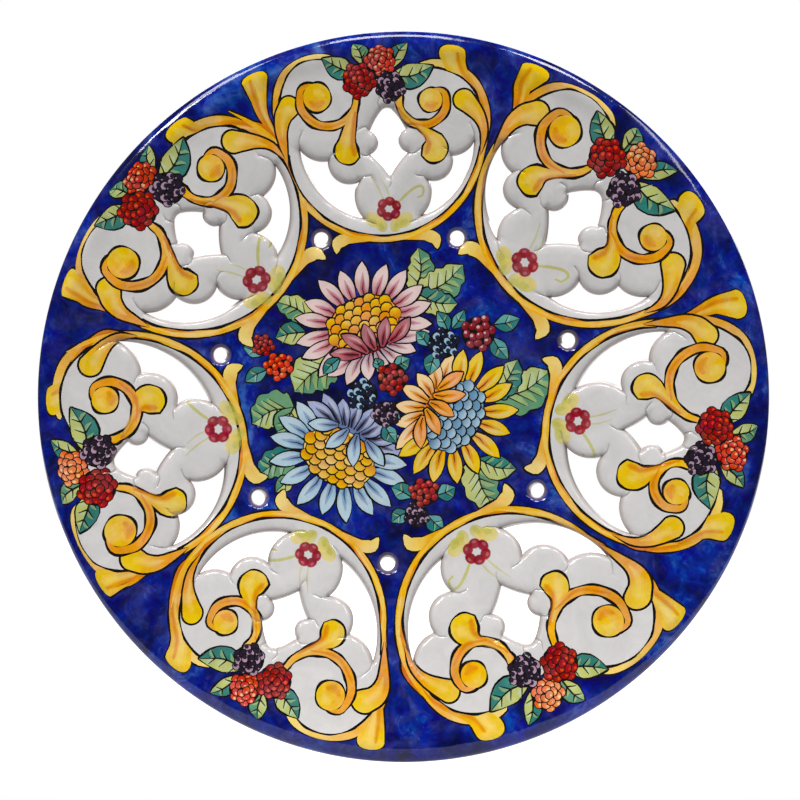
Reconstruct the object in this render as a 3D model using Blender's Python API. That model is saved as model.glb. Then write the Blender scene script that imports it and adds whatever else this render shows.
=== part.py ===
"""A round pierced wall plate: one glazed clay body that hangs with its face toward -Y.

The foot ring behind it rests on the wall plane, y = 0. The origin is on the flat face of that ring,
at the top, so the middle of the plate is FOOT_RADIUS below the origin. Plan positions are (x, z)
measured from the middle of the plate, and a height is a distance in front of the wall plane.
"""
import math
from collections import namedtuple

import bpy
import numpy as np
from mathutils import Vector
from mathutils.geometry import delaunay_2d_cdt

# The dish, in metres
PLATE_RADIUS = 0.190
WALL_THICKNESS = 0.008
WELL_HEIGHT = 0.0165
FLANGE_SLOPE = 0.215
FLANGE_START = 0.080
FLANGE_BLEND = 0.030

# The rounded lip and the low bead inside it
LIP_WIDTH = 0.0085
LIP_DROP = 0.0050
LIP_BACK_RISE = 0.0016
BEAD_RADIUS = 0.181
BEAD_WIDTH = 0.0055
BEAD_HEIGHT = 0.0011

# The foot ring, and the two holes through it that take a hanging wire
FOOT_RADIUS = 0.068
FOOT_WIDTH = 0.009
FOOT_SIDE = 0.0015
WIRE_HOLE_RADIUS = 0.0018
WIRE_HOLE_ANGLE = 24.0
WIRE_HOLE_DEPTH = 0.0036

# The cuts: softened front edges, and a lean outward toward the wall
EDGE_ROUND = 0.003
CUT_LEAN = 0.0012

# The pierced pattern sits a little up and left of the middle, as the plate was laid out by hand
PATTERN_CENTRE = (-0.0049, 0.0034)
ROUND_HOLE_RADIUS = 0.0039

# Each medallion: clock angle in degrees, distance from the pattern centre and radius in metres.
# Its cuts are in units of that radius, with +y away from the plate centre. The eye is the middle
# cut: x, y, half height, half width. A crescent is tip x, tip y, cusp x, cusp y.
Medallion = namedtuple("Medallion", "clock distance radius eye left right")
MEDALLIONS = (
    Medallion(357.1, 0.1329, 0.0515,
              (0.07, -0.07, 0.33, 0.19), (-0.83, -0.10, -0.25, -0.44), (0.94, -0.10, 0.46, -0.46)),
    Medallion(47.7, 0.1411, 0.0585,
              (-0.06, -0.21, 0.31, 0.21), (-0.98, -0.22, -0.47, -0.50), (0.91, -0.17, 0.39, -0.52)),
    Medallion(99.5, 0.1398, 0.0564,
              (0.01, -0.04, 0.27, 0.16), (-0.95, -0.08, -0.35, -0.38), (0.95, -0.10, 0.29, -0.47)),
    Medallion(153.2, 0.1369, 0.0575,
              (-0.07, -0.07, 0.28, 0.20), (-1.05, -0.16, -0.36, -0.50), (0.96, -0.10, 0.36, -0.50)),
    Medallion(206.9, 0.1353, 0.0538,
              (-0.06, -0.06, 0.29, 0.20), (-1.01, -0.07, -0.34, -0.43), (0.88, -0.07, 0.33, -0.45)),
    Medallion(257.4, 0.1422, 0.0580,
              (-0.09, -0.12, 0.25, 0.17), (-0.93, -0.20, -0.40, -0.47), (0.97, -0.12, 0.29, -0.50)),
    Medallion(309.8, 0.1391, 0.0580,
              (-0.05, -0.16, 0.25, 0.19), (-0.90, -0.23, -0.30, -0.56), (0.87, -0.28, 0.30, -0.53)),
)

# Each small round hole between two medallions: clock angle, distance from the pattern centre
ROUND_HOLES = (
    (22.5, 0.0868),
    (74.0, 0.0953),
    (125.0, 0.0920),
    (182.1, 0.0913),
    (231.6, 0.0910),
    (281.5, 0.0931),
    (334.2, 0.0881),
)

# How finely the solid is faceted
RIM_STEPS = 96
FRONT_RINGS = (0.028, 0.052, 0.070, 0.084, 0.098, 0.113, 0.128, 0.143, 0.158, 0.169)
BACK_RINGS = (0.032, 0.088, 0.104, 0.124, 0.144, 0.164)
BEAD_RINGS = (0.1755, 0.1785)
LIP_TURNS = (0.0, 0.45, 0.80, 1.0)
CUT_OFFSETS = (0.0009, 0.0030)
CUT_CLEARANCE = 0.0020
HOLE_STEPS = 12
WIRE_HOLE_STEPS = 12


def dish_height(radius):
    """Front of the dish: a flat well that bends smoothly into a straight flange."""
    past = radius - FLANGE_START
    bend = (np.hypot(past, FLANGE_BLEND) + past) / 2
    return WELL_HEIGHT + FLANGE_SLOPE * bend


def lip_turn(radius):
    """How far round the lip a radius is: 0 where it starts, 1 at the outer edge."""
    return np.clip((radius - (PLATE_RADIUS - LIP_WIDTH)) / LIP_WIDTH, 0, 1)


def quarter_round(turn):
    """Drop of a quarter circle of unit radius, from 0 at its crest to 1 at its side."""
    return 1 - np.sqrt(1 - turn**2)


def front_height(radius, cut_distance):
    """Front surface, with the bead, the lip, and a rounded edge beside each cut."""
    bead = BEAD_HEIGHT * np.exp(-(((radius - BEAD_RADIUS) / BEAD_WIDTH) ** 2))
    edge = quarter_round(np.clip(1 - cut_distance / EDGE_ROUND, 0, 1))
    lip = quarter_round(lip_turn(radius))
    return dish_height(radius) + bead - EDGE_ROUND * edge - LIP_DROP * lip


def back_height(radius):
    """Back surface: the dish again a wall thickness behind, with the foot ring down on the wall."""
    plain = dish_height(radius) - WALL_THICKNESS + LIP_BACK_RISE * quarter_round(lip_turn(radius))
    from_ring = np.abs(radius - FOOT_RADIUS) - FOOT_WIDTH / 2
    return plain * np.clip(from_ring / FOOT_SIDE, 0, 1)


def arc(start, end, bulge, steps):
    """Points round a circular arc, without its end. Bulge is sagitta over chord, positive to the right."""
    start, end = Vector(start), Vector(end)
    chord = end - start
    if bulge == 0:
        return [start + chord * (i / steps) for i in range(steps)]
    half_angle = 2 * math.atan(2 * bulge)
    right = Vector((chord.y, -chord.x)).normalized()
    centre = (start + end) / 2 - right * (chord.length / (2 * math.tan(half_angle)))
    spoke = start - centre
    points = []
    for i in range(steps):
        angle = 2 * half_angle * i / steps
        turned = Vector((
            spoke.x * math.cos(angle) - spoke.y * math.sin(angle),
            spoke.x * math.sin(angle) + spoke.y * math.cos(angle),
        ))
        points.append(centre + turned)
    return points


def chain(corners, steps):
    """A closed outline: an arc from each corner to the next, with the corner's own bulge."""
    outline = []
    for i, (corner, bulge) in enumerate(corners):
        following = corners[(i + 1) % len(corners)][0]
        outline += arc(corner, following, bulge, steps[i])
    return outline


def eye_outline(x, y, half_height, half_width):
    """The middle cut: a blunt-topped diamond with a round knob standing in from either side."""
    waist_top = y + 0.42 * half_height
    waist_bottom = y - 0.30 * half_height
    corners = (
        ((x, y - half_height), -0.04),
        ((x + half_width, waist_bottom), -0.34),
        ((x + 0.95 * half_width, waist_top), 0.04),
        ((x + 0.30 * half_width, y + half_height), 0.20),
        ((x - 0.30 * half_width, y + half_height), 0.04),
        ((x - 0.95 * half_width, waist_top), -0.34),
        ((x - half_width, waist_bottom), -0.04),
    )
    return chain(corners, (4, 6, 4, 2, 4, 6, 4))


def crescent_outline(tip_x, tip_y, cusp_x, cusp_y):
    """A side cut: its outer edge follows the medallion, and three lobes of clay bulge into it."""
    side = math.copysign(1, tip_x)
    reach, waist = abs(tip_x), abs(cusp_x)
    corners = (
        ((0.04 + 0.72 * waist, -0.81), 0.155),
        ((reach, tip_y), -0.14),
        ((waist + 0.52 * (reach - waist), tip_y + 0.36 * (cusp_y - tip_y)), -0.30),
        ((waist, cusp_y), -0.17),
    )
    return [Vector((side * point.x, point.y)) for point in chain(corners, (11, 4, 7, 5))]


def circle(radius, steps):
    """Points round a circle about the origin."""
    turns = [2 * math.pi * i / steps for i in range(steps)]
    return [Vector((radius * math.cos(turn), radius * math.sin(turn))) for turn in turns]


def placed(outline, clock, distance, scale):
    """An outline moved out from the pattern centre, with its +y turned away from that centre."""
    angle = math.radians(clock)
    outward = Vector((math.sin(angle), math.cos(angle)))
    across = Vector((math.cos(angle), -math.sin(angle)))
    middle = Vector(PATTERN_CENTRE) + outward * distance
    return [middle + (across * point.x + outward * point.y) * scale for point in outline]


def counter_clockwise(outline):
    """The outline in counter-clockwise order."""
    area = sum(a.x * b.y - b.x * a.y for a, b in zip(outline, outline[1:] + outline[:1]))
    return outline if area > 0 else outline[::-1]


def cut_outlines():
    """Every cut through the plate: an eye and two crescents per medallion, and the round holes."""
    outlines = []
    for medallion in MEDALLIONS:
        for shape in (
            eye_outline(*medallion.eye),
            crescent_outline(*medallion.left),
            crescent_outline(*medallion.right),
        ):
            outlines.append(placed(shape, medallion.clock, medallion.distance, medallion.radius))
    for clock, distance in ROUND_HOLES:
        outlines.append(placed(circle(ROUND_HOLE_RADIUS, HOLE_STEPS), clock, distance, 1))
    return [counter_clockwise(outline) for outline in outlines]


def leaned(outline):
    """The same cut at the back, a little further out."""
    return [point * (1 + CUT_LEAN / point.length) for point in outline]


def cut_distances(points, outlines):
    """Distance in plan from each point to the nearest cut edge."""
    nearest = np.full(len(points), np.inf)
    plan = np.array(points)
    for outline in outlines:
        starts = np.array(outline)
        edges = np.roll(starts, -1, axis=0) - starts
        offsets = plan[:, None, :] - starts[None]
        along = np.clip((offsets * edges).sum(2) / (edges**2).sum(1), 0, 1)
        gaps = np.linalg.norm(offsets - along[..., None] * edges, axis=2)
        nearest = np.minimum(nearest, gaps.min(1))
    return nearest


def inside(points, outline):
    """Which points lie inside a closed outline."""
    x, y = np.array(points).T
    crossings = np.zeros(len(x), dtype=bool)
    for a, b in zip(outline, outline[1:] + outline[:1]):
        if a.y == b.y:
            continue
        spans = (a.y > y) != (b.y > y)
        crossings ^= spans & (x < a.x + (b.x - a.x) * (y - a.y) / (b.y - a.y))
    return crossings


def offset_points(outline, distance):
    """Points standing off a cut on its clay side, one beside each point of its outline."""
    points = []
    for before, point, after in zip(outline[-1:] + outline[:-1], outline, outline[1:] + outline[:1]):
        travel = (after - before).normalized()
        points.append(point + Vector((travel.y, -travel.x)) * distance)
    return points


def clear_of_cuts(points, outlines, clearance):
    """The points that are on clay and at least the clearance from every cut."""
    keep = cut_distances(points, outlines) >= clearance
    for outline in outlines:
        keep &= ~inside(points, outline)
    return [point for point, kept in zip(points, keep) if kept]


def ring_points(radii):
    """Points round rings, with more of them the wider the ring."""
    points = []
    for radius in radii:
        points += circle(radius, max(12, round(RIM_STEPS * radius / PLATE_RADIUS)))
    return points


def triangulated(loops, loose, outlines):
    """Triangles over the clay between fixed loops, through loose points. Loop points come first."""
    points = []
    edges = []
    for loop in loops:
        first = len(points)
        points += loop
        edges += [(first + i, first + (i + 1) % len(loop)) for i in range(len(loop))]
    points += loose
    plan, _, faces, *_ = delaunay_2d_cdt(points, edges, [], 0, 1e-7)
    middles = [sum((plan[i] for i in face), Vector((0, 0))) / 3 for face in faces]
    keep = np.ones(len(faces), dtype=bool)
    for outline in outlines:
        keep &= ~inside(middles, outline)
    return plan, [face for face, kept in zip(faces, keep) if kept]


def front_skin(outlines):
    """The painted side, from the rim to the edge of every cut."""
    lip = [circle(PLATE_RADIUS - LIP_WIDTH * (1 - turn), RIM_STEPS) for turn in reversed(LIP_TURNS)]
    loose = [Vector((0, 0))]
    loose += clear_of_cuts(ring_points(FRONT_RINGS + BEAD_RINGS), outlines, EDGE_ROUND + CUT_CLEARANCE)
    for distance in CUT_OFFSETS:
        for outline in outlines:
            loose += clear_of_cuts(offset_points(outline, distance), outlines, 0.9 * distance)
    plan, faces = triangulated(lip[:1] + outlines + lip[1:], loose, outlines)
    to_cut = cut_distances(plan, outlines)
    to_cut[:RIM_STEPS + sum(map(len, outlines))][RIM_STEPS:] = 0
    heights = front_height(np.array([point.length for point in plan]), to_cut)
    return plan, heights, faces


def back_skin(outlines):
    """The wall side, from the rim inward, with the foot ring."""
    flat = (FOOT_RADIUS - FOOT_WIDTH / 2, FOOT_RADIUS + FOOT_WIDTH / 2)
    foot = [circle(radius, RIM_STEPS // 2) for radius in (flat[0] - FOOT_SIDE, *flat, flat[1] + FOOT_SIDE)]
    lip = [circle(PLATE_RADIUS - LIP_WIDTH * (1 - turn), RIM_STEPS) for turn in (1.0, 0.6, 0.0)]
    loose = [Vector((0, 0))] + clear_of_cuts(ring_points(BACK_RINGS), outlines, CUT_CLEARANCE)
    plan, faces = triangulated(lip[:1] + outlines + lip[1:] + foot, loose, outlines)
    heights = back_height(np.array([point.length for point in plan]))
    return plan, heights, faces


def stood_up(plan, heights):
    """Plan points and their heights as points in space."""
    return [(point.x, -height, point.y - FOOT_RADIUS) for point, height in zip(plan, heights)]


def plate_mesh():
    """The whole body: front skin, back skin, and the walls that join them round the rim and cuts."""
    outlines = cut_outlines()
    front_plan, front_heights, front_faces = front_skin(outlines)
    back_plan, back_heights, back_faces = back_skin([leaned(outline) for outline in outlines])
    behind = len(front_plan)
    faces = [tuple(face) for face in front_faces]
    faces += [tuple(behind + i for i in reversed(face)) for face in back_faces]
    first = 0
    for count in [RIM_STEPS] + [len(outline) for outline in outlines]:
        for i in range(count):
            a, b = first + i, first + (i + 1) % count
            wall = (a, b, behind + b, behind + a)
            faces.append(wall if first else wall[::-1])
        first += count
    mesh = bpy.data.meshes.new("pierced_plate")
    mesh.from_pydata(stood_up(front_plan, front_heights) + stood_up(back_plan, back_heights), [], faces)
    return mesh


def glaze():
    """Glossy tin glaze over the whole body."""
    material = bpy.data.materials.new("glaze")
    material.use_nodes = True
    shader = material.node_tree.nodes["Principled BSDF"]
    shader.inputs["Base Color"].default_value = (0.62, 0.60, 0.58, 1)
    shader.inputs["Roughness"].default_value = 0.12
    shader.inputs["Metallic"].default_value = 0
    return material


def wire_hole_cutter(clock):
    """A pin lying along the ring's radius that drills through the foot ring."""
    bpy.ops.mesh.primitive_cylinder_add(
        vertices=WIRE_HOLE_STEPS,
        radius=WIRE_HOLE_RADIUS,
        depth=3 * FOOT_WIDTH,
        rotation=(0, math.radians(clock), 0),
        location=(
            FOOT_RADIUS * math.sin(math.radians(clock)),
            -WIRE_HOLE_DEPTH,
            FOOT_RADIUS * (math.cos(math.radians(clock)) - 1),
        ),
    )
    cutter = bpy.context.object
    cutter.name = "wire_hole_cutter"
    cutter.hide_render = True
    cutter.display_type = "WIRE"
    return cutter


def build_plate():
    """The plate with its two wire holes."""
    plate = bpy.data.objects.new("pierced_plate", plate_mesh())
    bpy.context.collection.objects.link(plate)
    plate.data.materials.append(glaze())
    for clock in (-WIRE_HOLE_ANGLE, WIRE_HOLE_ANGLE):
        drill = plate.modifiers.new("wire_hole", "BOOLEAN")
        drill.operation = "DIFFERENCE"
        drill.solver = "EXACT"
        drill.object = wire_hole_cutter(clock)


for leftover in list(bpy.data.objects):
    bpy.data.objects.remove(leftover)
build_plate()
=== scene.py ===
"""Looks of the pierced wall plate: its painted glaze, lights, floor and camera.

The plate is drawn flat, in metres from its middle with +y up, as outlines laid one over another like
coats of paint. The same outlines become edges of the plate's mesh, so each patch of paint has a crisp
border, and each triangle takes the colour of the shapes that cover it.
"""
import math
from collections import namedtuple

import bpy
import numpy as np
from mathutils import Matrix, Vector
from mathutils.geometry import delaunay_2d_cdt
from numpy.linalg import norm


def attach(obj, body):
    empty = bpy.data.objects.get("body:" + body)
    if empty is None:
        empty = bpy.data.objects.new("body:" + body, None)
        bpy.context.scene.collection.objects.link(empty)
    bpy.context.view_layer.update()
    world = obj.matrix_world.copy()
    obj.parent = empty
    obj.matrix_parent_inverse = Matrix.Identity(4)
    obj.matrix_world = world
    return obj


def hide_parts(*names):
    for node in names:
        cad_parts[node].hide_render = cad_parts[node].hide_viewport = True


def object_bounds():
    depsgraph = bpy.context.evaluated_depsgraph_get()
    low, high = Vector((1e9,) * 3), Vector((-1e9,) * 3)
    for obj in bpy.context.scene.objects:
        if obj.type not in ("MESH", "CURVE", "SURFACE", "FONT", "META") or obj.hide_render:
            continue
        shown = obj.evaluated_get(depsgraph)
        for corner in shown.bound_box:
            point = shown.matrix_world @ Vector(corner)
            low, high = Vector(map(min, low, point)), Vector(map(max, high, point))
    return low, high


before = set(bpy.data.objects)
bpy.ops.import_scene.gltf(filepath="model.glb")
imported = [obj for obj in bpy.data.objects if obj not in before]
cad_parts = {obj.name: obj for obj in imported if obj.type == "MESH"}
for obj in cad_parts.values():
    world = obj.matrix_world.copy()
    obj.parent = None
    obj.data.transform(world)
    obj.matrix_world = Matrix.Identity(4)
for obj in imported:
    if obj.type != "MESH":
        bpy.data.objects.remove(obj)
loaded_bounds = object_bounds()

# The dish, in metres, as the solid has it, but with a flatter swelling (pillow) beside the cuts
PLATE_RADIUS = 0.190
WALL_THICKNESS = 0.008
WELL_HEIGHT = 0.0165
FLANGE_SLOPE = 0.215
FLANGE_START = 0.080
FLANGE_BLEND = 0.030
LIP_WIDTH = 0.0085
LIP_DROP = 0.0050
LIP_BACK_RISE = 0.0016
BEAD_RADIUS = 0.181
BEAD_WIDTH = 0.0055
BEAD_HEIGHT = 0.0011
FOOT_RADIUS = 0.068
FOOT_WIDTH = 0.009
FOOT_SIDE = 0.0015
WIRE_HOLE_RADIUS = 0.0018
WIRE_HOLE_ANGLE = 24.0
WIRE_HOLE_DEPTH = 0.0036
EDGE_ROUND = 0.003
PILLOW_WIDTH = 0.0085
PILLOW_DROP = 0.0008
GROOVE_WIDTH = 0.0010
GROOVE_DEPTH = 0.0005
WAVE_HEIGHT = 0.00018
WAVE_X = 0.0071
WAVE_Y = 0.0088
CUT_LEAN = 0.0012
PATTERN_CENTRE = (-0.0049, 0.0034)
ROUND_HOLE_RADIUS = 0.0039
ROUND_HOLE_STEPS = 28

# The cuts' corners: an eye's as shares of its half height and half width, a crescent's as shares of the way
# from its cusp to its tip, and its foot from the medallion's middle line. Each arc between them bulges by a
# share of its length. Past each corner the knife left a groove, with two points at steps from the corner
EYE_BROW = 0.42
EYE_LOW = 0.30
EYE_BROW_WIDTH = 0.95
EYE_PEAK_WIDTH = 0.30
EYE_BULGES = (-0.04, -0.34, 0.04, 0.20, 0.04, -0.34, -0.04)
EYE_STEPS = (4, 6, 4, 2, 4, 6, 4)
EYE_FOOT_GROOVE = ((0.01, -0.06), (-0.01, -0.12))
EYE_GROOVES = (((0.06, -0.02), (0.13, 0.02)), ((0.05, 0.03), (0.11, 0.01)), ((0.03, 0.06), (0.01, 0.12)))
CRESCENT_STEP = (0.52, 0.36)
CRESCENT_FOOT = (0.04, 0.72, -0.81)
CRESCENT_BULGES = (0.155, -0.14, -0.30, -0.17)
CRESCENT_STEPS = (11, 4, 7, 5)
CRESCENT_GROOVES = (((0.005, 0.08), (-0.03, 0.17)), ((-0.03, 0.05), (-0.08, 0.08)),
                    ((-0.05, 0.04), (-0.12, 0.05)), ((-0.05, -0.04), (-0.12, -0.07)))
CURVE_STEPS = 3

# How finely the visible plate is meshed
RIM_STEPS = 300
LATTICE = 0.0033
ROW_RISE = 0.866
LIP_CLEARANCE = 0.001
BEAD_INNER = 0.003
LIP_TURNS = (0.0, 0.3, 0.55, 0.75, 0.9, 1.0)
LIP_BACK_TURNS = (1, 0.4)
CUT_OFFSETS = (0.00025, 0.0009, 0.0018, 0.0030)
OFFSET_GAP = 0.9       # clear space round points beside a cut, over how far they lie from it
FIELD_GAP = 0.4        # space between those and the lattice in front, in its spacings
BACK_GAP = 0.3         # space between the cuts and the lattice on the wall side, in its spacings
GROOVE_STEP = 0.001
WALL_ROWS = 3
BACK_LATTICE = 0.0062
FOOT_STEPS = 160
DRILL_SIDES = 24
SHARP_ANGLE = 50.0
WELD = 1e-7
SPECK = 1e-9
TINY = 1e-12

# Where each side of the plate lies on its square texture map, as shares of the map
MAP_WIDTH = 0.86
MAP_GAP = 0.006
WALL_MAP_LEFT = MAP_WIDTH + 2 * MAP_GAP
WALL_MAP_SCALE = 0.78
WALL_MAP_MARGIN = 0.1  # of a wall's own column
DRILL_MAP_SIZE = 0.012
DRILL_MAP_RISE = 0.3   # either way from the map's middle
SMALL_HOLE_LENGTH = 0.045

# Each medallion is painted by hand, so each has its own proportions. Clock angle in degrees, distance and
# radius in metres, then in medallion radii: its three cuts, how far its top is lifted and stretched to the
# left and right, where its outer leaves end, and where its berries, scroll balls, bulbs and blossom lie
Medallion = namedtuple(
    "Medallion", "clock distance radius eye left right lift widen_left widen_right left_head right_head "
    "berries left_ball left_bulb right_ball right_bulb blossom")

MEDALLIONS = (
    Medallion(357.1, 0.1329, 0.0515,
              (0.07, -0.07, 0.33, 0.19), (-0.83, -0.10, -0.25, -0.44), (0.94, -0.10, 0.46, -0.46),
              0.04, 0.93, 1.03, (-1.25, 0.62), (0.76, 0.78),
              (-0.02, 0.60), (-0.63, 0.41), (-0.36, -0.14), (0.52, 0.33), (0.54, -0.15), (0.04, -0.73)),
    Medallion(47.7, 0.1411, 0.0585,
              (-0.06, -0.21, 0.31, 0.21), (-0.98, -0.22, -0.47, -0.50), (0.91, -0.17, 0.39, -0.52),
              -0.10, 0.98, 1.02, (-1.25, 0.42), (0.57, 0.65),
              (-0.08, 0.42), (-0.68, 0.26), (-0.56, -0.24), (0.55, 0.21), (0.42, -0.25), (-0.06, -0.77)),
    Medallion(99.5, 0.1398, 0.0564,
              (0.01, -0.04, 0.27, 0.16), (-0.95, -0.08, -0.35, -0.38), (0.95, -0.10, 0.29, -0.47),
              -0.01, 0.99, 1.00, (-1.3, 0.5), (0.74, 0.72),
              (0.02, 0.54), (-0.69, 0.36), (-0.42, -0.17), (0.50, 0.25), (0.42, -0.17), (0.00, -0.74)),
    Medallion(153.2, 0.1369, 0.0575,
              (-0.07, -0.07, 0.28, 0.20), (-1.05, -0.16, -0.36, -0.50), (0.96, -0.10, 0.36, -0.50),
              0.00, 1.14, 0.95, (-1.33, 0.6), (0.61, 0.74),
              (-0.05, 0.54), (-0.79, 0.36), (-0.51, -0.13), (0.52, 0.25), (0.41, -0.15), (-0.01, -0.72)),
    Medallion(206.9, 0.1353, 0.0538,
              (-0.06, -0.06, 0.29, 0.20), (-1.01, -0.07, -0.34, -0.43), (0.88, -0.07, 0.33, -0.45),
              0.02, 1.12, 0.92, (-1.33, 0.6), (0.68, 0.76),
              (-0.07, 0.56), (-0.79, 0.40), (-0.54, -0.13), (0.44, 0.23), (0.37, -0.21), (0.02, -0.70)),
    Medallion(257.4, 0.1422, 0.0580,
              (-0.09, -0.12, 0.25, 0.17), (-0.93, -0.20, -0.40, -0.47), (0.97, -0.12, 0.29, -0.50),
              -0.12, 0.98, 0.98, (-1.13, 0.47), (0.58, 0.56),
              (-0.10, 0.37), (-0.70, 0.22), (-0.56, -0.28), (0.48, 0.10), (0.40, -0.28), (0.00, -0.82)),
    Medallion(309.8, 0.1391, 0.0580,
              (-0.05, -0.16, 0.25, 0.19), (-0.90, -0.23, -0.30, -0.56), (0.87, -0.28, 0.30, -0.53),
              -0.14, 0.96, 0.95, (-1.14, 0.48), (0.56, 0.58),
              (-0.05, 0.43), (-0.68, 0.20), (-0.47, -0.31), (0.48, 0.14), (0.37, -0.31), (-0.03, -0.80)),
)
ROUND_HOLES = (
    (22.5, 0.0868), (74.0, 0.0953), (125.0, 0.0920), (182.1, 0.0913),
    (231.6, 0.0910), (281.5, 0.0931), (334.2, 0.0881),
)

# Colours, as display values from 0 to 255
WHITE = (205, 202, 200)
INK = (20, 15, 13)
COBALT = (16, 27, 124)
COBALT_DARK = (13, 15, 72)
COBALT_LIGHT = (40, 70, 158)
YELLOW = (225, 187, 52)
PALE_YELLOW = (230, 202, 118)
ORANGE = (222, 150, 54)
DEEP_ORANGE = (205, 112, 26)
RED = (190, 34, 28)
DARK_RED = (112, 20, 26)
CORAL = (222, 88, 50)
PEACH = (230, 158, 92)
PALE_PEACH = (238, 202, 148)
MINT = (178, 198, 174)
AMBER = (230, 174, 60)
SHADE = (150, 142, 144)
OLIVE = (176, 172, 66)
# the white glaze of the cut walls, made a little darker as painted shade
SHADED_WALL_WHITE = (196, 192, 188)
HOLE_EDGE = (92, 98, 140)
BRICK = (168, 62, 54)
DARK_PINK = (160, 66, 84)
BLOSSOM = (176, 46, 62)
PLUM = (36, 26, 42)
LILAC = (166, 138, 158)
NIGHT = (22, 28, 48)
PALE_BLUE = (150, 182, 205)
TEAL = (40, 112, 112)
PALE_TEAL = (88, 152, 150)
GREEN = (98, 146, 108)
LEAF_YELLOW = (184, 188, 112)
PINK = (220, 194, 190)
MAUVE = (172, 104, 110)
GREY_LILAC = (164, 146, 166)
SKY = (122, 158, 184)
PERIWINKLE = (150, 160, 196)
STEEL = (70, 112, 148)
BLUE_GREY = (96, 116, 156)
PALE_SKY = (172, 196, 208)
SALMON = (216, 152, 96)

WANDER = 0.5    # how much a brush line's width wanders, as a share of it

Wash = namedtuple("Wash", "first second start end")
Shape = namedtuple("Shape", "outline wash alpha")


def flat(colour):
    """A wash of one colour."""
    return Wash(colour, colour, (0, 0), (0, 1))


# ---------------------------------------------------------------- outlines
def spline(points, step):
    """A smooth curve through a few points, sampled about every step."""
    p = np.array(points, dtype=float)
    p = np.vstack([2 * p[0] - p[1], p, 2 * p[-1] - p[-2]])
    out = []
    for a, b, c, d in zip(p[:-3], p[1:-2], p[2:-1], p[3:]):
        count = max(1, int(round(norm(c - b) / step)))
        t = np.arange(count)[:, None] / count
        bend = (2 * a - 5 * b + 4 * c - d) * t**2 + (3 * b - a - 3 * c + d) * t**3
        out.append(0.5 * (2 * b + (c - a) * t + bend))
    out.append(p[-2:-1])
    return np.vstack(out)


def normals(path, closed=False):
    """Unit vectors to the right of travel along a path."""
    if closed:
        travel = np.roll(path, -1, axis=0) - np.roll(path, 1, axis=0)
    else:
        travel = np.gradient(path, axis=0)
    travel /= np.maximum(norm(travel, axis=1), TINY)[:, None]
    return np.stack([travel[:, 1], -travel[:, 0]], axis=1)


def ribbon(path, widths, step):
    """A brush stroke along a path; widths are half widths spread evenly from start to end."""
    line = spline(path, step)
    lengths = np.r_[0, np.cumsum(norm(np.diff(line, axis=0), axis=1))]
    half = np.interp(lengths / lengths[-1], np.linspace(0, 1, len(widths)), widths)[:, None]
    side = normals(line)
    right, left = line + side * half, line - side * half
    forward = np.array([-side[-1, 1], side[-1, 0]])
    turns = np.linspace(0, math.pi, max(3, int(math.pi * widths[-1] / step)))[1:-1]
    cap = [line[-1] + widths[-1] * (side[-1] * math.cos(t) + forward * math.sin(t)) for t in turns]
    return np.vstack([right, cap, left[::-1]])


def disc(centre, radius, steps, squash=1.0, turn=0.0):
    """A circle, or an ellipse turned by an angle in radians."""
    t = 2 * math.pi * np.arange(steps) / steps
    x, y = radius * np.cos(t), radius * squash * np.sin(t)
    c, s = math.cos(turn), math.sin(turn)
    return np.stack([centre[0] + c * x - s * y, centre[1] + s * x + c * y], axis=1)


def ccw(outline):
    """The outline run anticlockwise."""
    x, y = outline[:, 0], outline[:, 1]
    area = np.sum(x * np.roll(y, -1) - np.roll(x, -1) * y)
    return outline if area > 0 else outline[::-1]


def grown(outline, amount, phase):
    """The outline moved out all round, by an amount that wanders as a brush line does."""
    outline = ccw(outline)
    i = np.arange(len(outline))
    amounts = amount * (1 + WANDER * np.sin(0.55 * i + phase) * np.sin(0.21 * i + 2 * phase + 1))
    return outline + normals(outline, closed=True) * amounts[:, None]


def polar(degrees, radius=1.0):
    """The point at an angle and a distance."""
    a = math.radians(degrees)
    return np.array([radius * math.cos(a), radius * math.sin(a)])


def scaled(size, *factors):
    """Each factor times the size."""
    return [factor * size for factor in factors]


def mapped(shapes, move):
    """The same shapes after every point has gone through the function move."""
    out = []
    for s in shapes:
        ends = move(np.array([s.wash.start, s.wash.end], dtype=float))
        out.append(Shape(move(s.outline), Wash(s.wash.first, s.wash.second, *ends), s.alpha))
    return out


# ---------------------------------------------------------------- cuts
def arc(start, end, bulge, steps):
    """Points of an arc, without its end; bulge is its height over its chord, to the right of travel."""
    start, end = np.array(start, float), np.array(end, float)
    chord = end - start
    half = 2 * math.atan(2 * bulge)
    right = np.array([chord[1], -chord[0]])
    centre = (start + end) / 2 - right / (2 * math.tan(half))
    x, y = start - centre
    turns = [2 * half * i / steps for i in range(steps)]
    return [centre + (x * math.cos(a) - y * math.sin(a), x * math.sin(a) + y * math.cos(a)) for a in turns]


def chain(corners, bulges, steps):
    """A closed outline of arcs from corner to corner."""
    out = []
    for i, (bulge, count) in enumerate(zip(bulges, steps)):
        out += arc(corners[i], corners[(i + 1) % len(corners)], bulge, CURVE_STEPS * count)
    return np.array(out)


def eye_corners(x, y, half_height, half_width):
    """The middle cut's corners: its foot, then three up its right side and three down its left."""
    top, low, head = y + EYE_BROW * half_height, y - EYE_LOW * half_height, y + half_height
    brow, peak = EYE_BROW_WIDTH * half_width, EYE_PEAK_WIDTH * half_width
    return ((x, y - half_height), (x + half_width, low), (x + brow, top), (x + peak, head),
            (x - peak, head), (x - brow, top), (x - half_width, low))


def crescent_corners(tip_x, tip_y, cusp_x, cusp_y):
    """A side cut's foot, tip, bite and cusp, as they are on the right."""
    reach, waist = abs(tip_x), abs(cusp_x)
    step_x, step_y = CRESCENT_STEP
    shift, share, depth = CRESCENT_FOOT
    return ((shift + share * waist, depth), (reach, tip_y),
            (waist + step_x * (reach - waist), tip_y + step_y * (cusp_y - tip_y)), (waist, cusp_y))


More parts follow.
